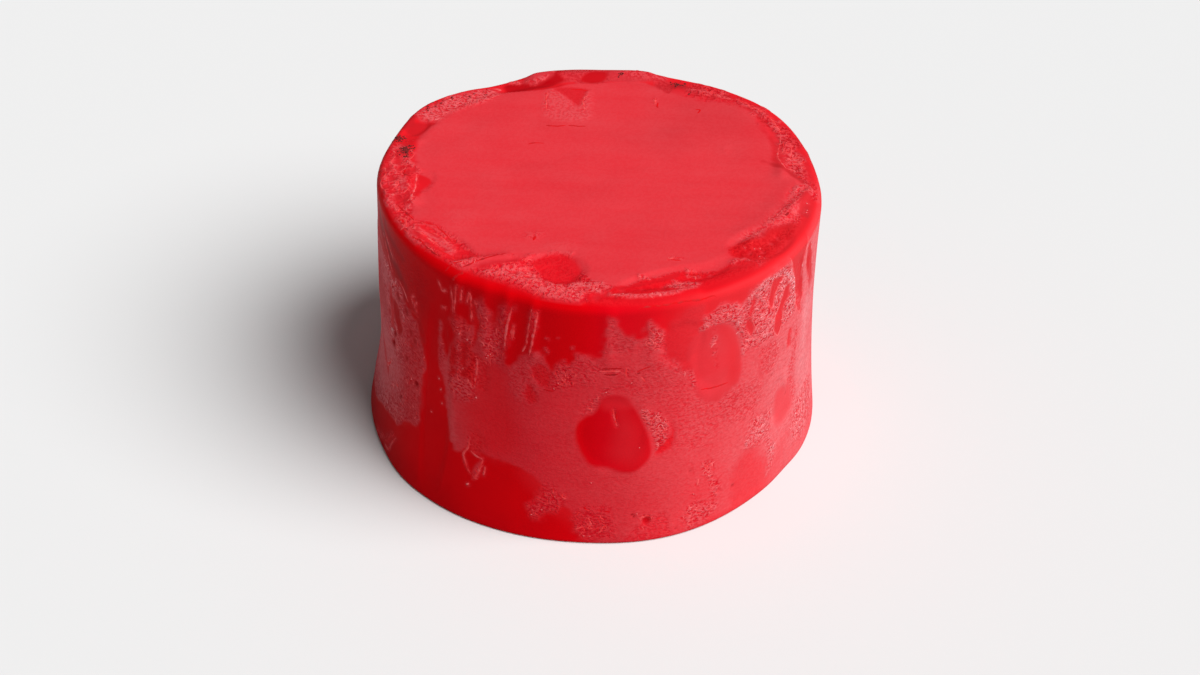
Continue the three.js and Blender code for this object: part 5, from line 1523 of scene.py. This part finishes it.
def flecked_material(name, settings, flecks, colour, other):
    """A material that runs between two colours in flecks."""
    material, tree, shader = new_material(name, settings)
    fleck = noise_node(object_coords(tree), **flecks)
    feed(shader.inputs["Base Color"], mix_colour(fleck, colour, other))
    return material


def crumb_material():
    return flecked_material("chocolate_crumb", CRUMB_SHADER, CRUMB_FLECKS, CRUMB_DARK, CRUMB_BROWN)


def crystal_material():
    return flecked_material("frost_crystal_glint", CRYSTAL_SHADER, CRYSTAL_FLECKS, CRYSTAL_RED,
                            CRYSTAL_PALE_GLINT)


def floor_material():
    material, _, shader = new_material("pale_floor", FLOOR_SHADER)
    feed(shader.inputs["Base Color"], FLOOR_PALE)
    return material


def lump(rng):
    """The points and triangles of one small uneven lump, about two units across."""
    mesh = bmesh.new()
    bmesh.ops.create_icosphere(mesh, subdivisions=LUMP_DIVISIONS, radius=1)
    points = np.array([v.co for v in mesh.verts])
    points *= rng.uniform(*LUMP_CORNERS, (len(points), 1))
    faces = np.array([[v.index for v in f.verts] for f in mesh.faces])
    mesh.free()
    return points, faces


def scatter(name, seats, sizes, rng, sink, flat):
    """One piece made of many lumps, each sitting a little sunk on the surface."""
    lumps = Bundle()
    for (seat, normal), size in zip(seats, sizes):
        points, faces = lump(rng)
        spin = Matrix.Rotation(rng.uniform(0, 2 * np.pi), 3, "Z")
        turn = np.array(Vector(normal).to_track_quat("Z", "Y").to_matrix() @ spin)
        stretch = rng.uniform(*LUMP_STRETCH)
        points = points * (stretch, 1 / stretch, flat) * size
        lumps.add(points @ turn.T + seat - np.array(normal) * size * sink, faces)
    return lumps.piece(name, smooth=True)


def make_crumbs(surface):
    """Dark crumbs in heaps along the lip."""
    rng = np.random.default_rng(SEED + 20)
    seats, sizes = [], []
    for heap, spread, count in CRUMB_HEAPS:
        for _ in range(count):
            spot = np.array(heap) + rng.normal(0, spread / HEAP_WIDTHS, 2)
            seat, normal = surface.on_top(*spot)
            if seat:
                seats.append((np.array(seat), np.array(normal)))
                sizes.append(rng.uniform(*CRUMB_SIZE))
    return scatter("chocolate_crumbs", seats, sizes, rng, CRUMB_SUNK, CRUMB_FLAT)


def make_crystals(surface):
    """Pale crystals of the frost, and the specks that the marks name; their paleness is partly a
    painted glint.
    """
    rng = np.random.default_rng(SEED + 21)
    ids = grained_places(surface, CRYSTAL_GRAIN, CRYSTAL_COUNT, rng)
    seats = [(surface.points[i], surface.normals[i]) for i in ids]
    sizes = list(rng.uniform(*CRYSTAL_SIZE, len(ids)))
    for marks, find in ((WALL_MARKS, surface.on_wall), (TOP_MARKS, surface.on_top)):
        for mark in marks:
            if "strand" in mark and len(mark["outline"]) == 1:
                places, normals = seated(mark["outline"], find)
                seats += list(zip(places, normals))
                sizes += [SPECK_SHARE * mark["half"]] * len(places)
    return scatter("frost_crystals", seats, sizes, rng, CRYSTAL_SUNK, CRYSTAL_FLAT)


def finish_piece(piece, material):
    piece.data.materials.append(material)
    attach(piece, "root")


def make_floor():
    half = FLOOR_SIZE / 2
    corners = np.array([[-half, -half, 0], [half, -half, 0], [half, half, 0], [-half, half, 0]])
    floor = mesh_from("floor", corners, np.array([[0, 1, 2, 3]]))
    floor.data.materials.append(floor_material())


def make_lights():
    key = bpy.data.lights.new("key", "SUN")
    key.energy = KEY_STRENGTH
    key.angle = np.radians(KEY_SOFTNESS)
    lamp = bpy.data.objects.new("key", key)
    bearing, height = np.radians(KEY_BEARING), np.radians(KEY_HEIGHT)
    towards = Vector((np.sin(bearing) * np.cos(height), -np.cos(bearing) * np.cos(height),
                      np.sin(height)))
    lamp.rotation_euler = towards.to_track_quat("Z", "Y").to_euler()
    bpy.context.scene.collection.objects.link(lamp)
    world = bpy.data.worlds.new("studio")
    world.use_nodes = True
    sky = world.node_tree.nodes["Background"]
    sky.inputs["Color"].default_value = (1, 1, 1, 1)
    sky.inputs["Strength"].default_value = SKY_STRENGTH
    bpy.context.scene.world = world


def make_camera(centre):
    pitch, yaw, roll = np.radians([CAMERA_PITCH, CAMERA_YAW, CAMERA_ROLL])
    forward = np.array([np.sin(yaw) * np.cos(pitch), np.cos(yaw) * np.cos(pitch), -np.sin(pitch)])
    level = np.array([np.cos(yaw), -np.sin(yaw), 0])
    up = np.cross(level, forward)
    right = level * np.cos(roll) + up * np.sin(roll)
    above = up * np.cos(roll) - level * np.sin(roll)
    data = bpy.data.cameras.new("photo_view")
    data.lens = CAMERA_LENS
    data.sensor_width = SENSOR_WIDTH
    data.clip_end = CAMERA_REACH
    camera = bpy.data.objects.new("photo_view", data)
    place_ = (np.array(CAMERA_PLACE) - (centre[0], centre[1], 0)) * MM
    camera.matrix_world = Matrix([[right[i], above[i], -forward[i], place_[i]] for i in range(3)]
                                 + [[0, 0, 0, 1]])
    bpy.context.scene.collection.objects.link(camera)
    bpy.context.scene.camera = camera


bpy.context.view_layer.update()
cake, surface = make_cake()
cream = cream_material()
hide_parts("cake")
finish_piece(cake, cream)
finish_piece(make_ridges(surface), cream)
finish_piece(make_strokes(surface), cream)
finish_piece(make_crumbs(surface), crumb_material())
finish_piece(make_crystals(surface), crystal_material())
make_floor()
make_lights()
make_camera(surface.centre)
bpy.context.scene.view_settings.view_transform = "Standard"
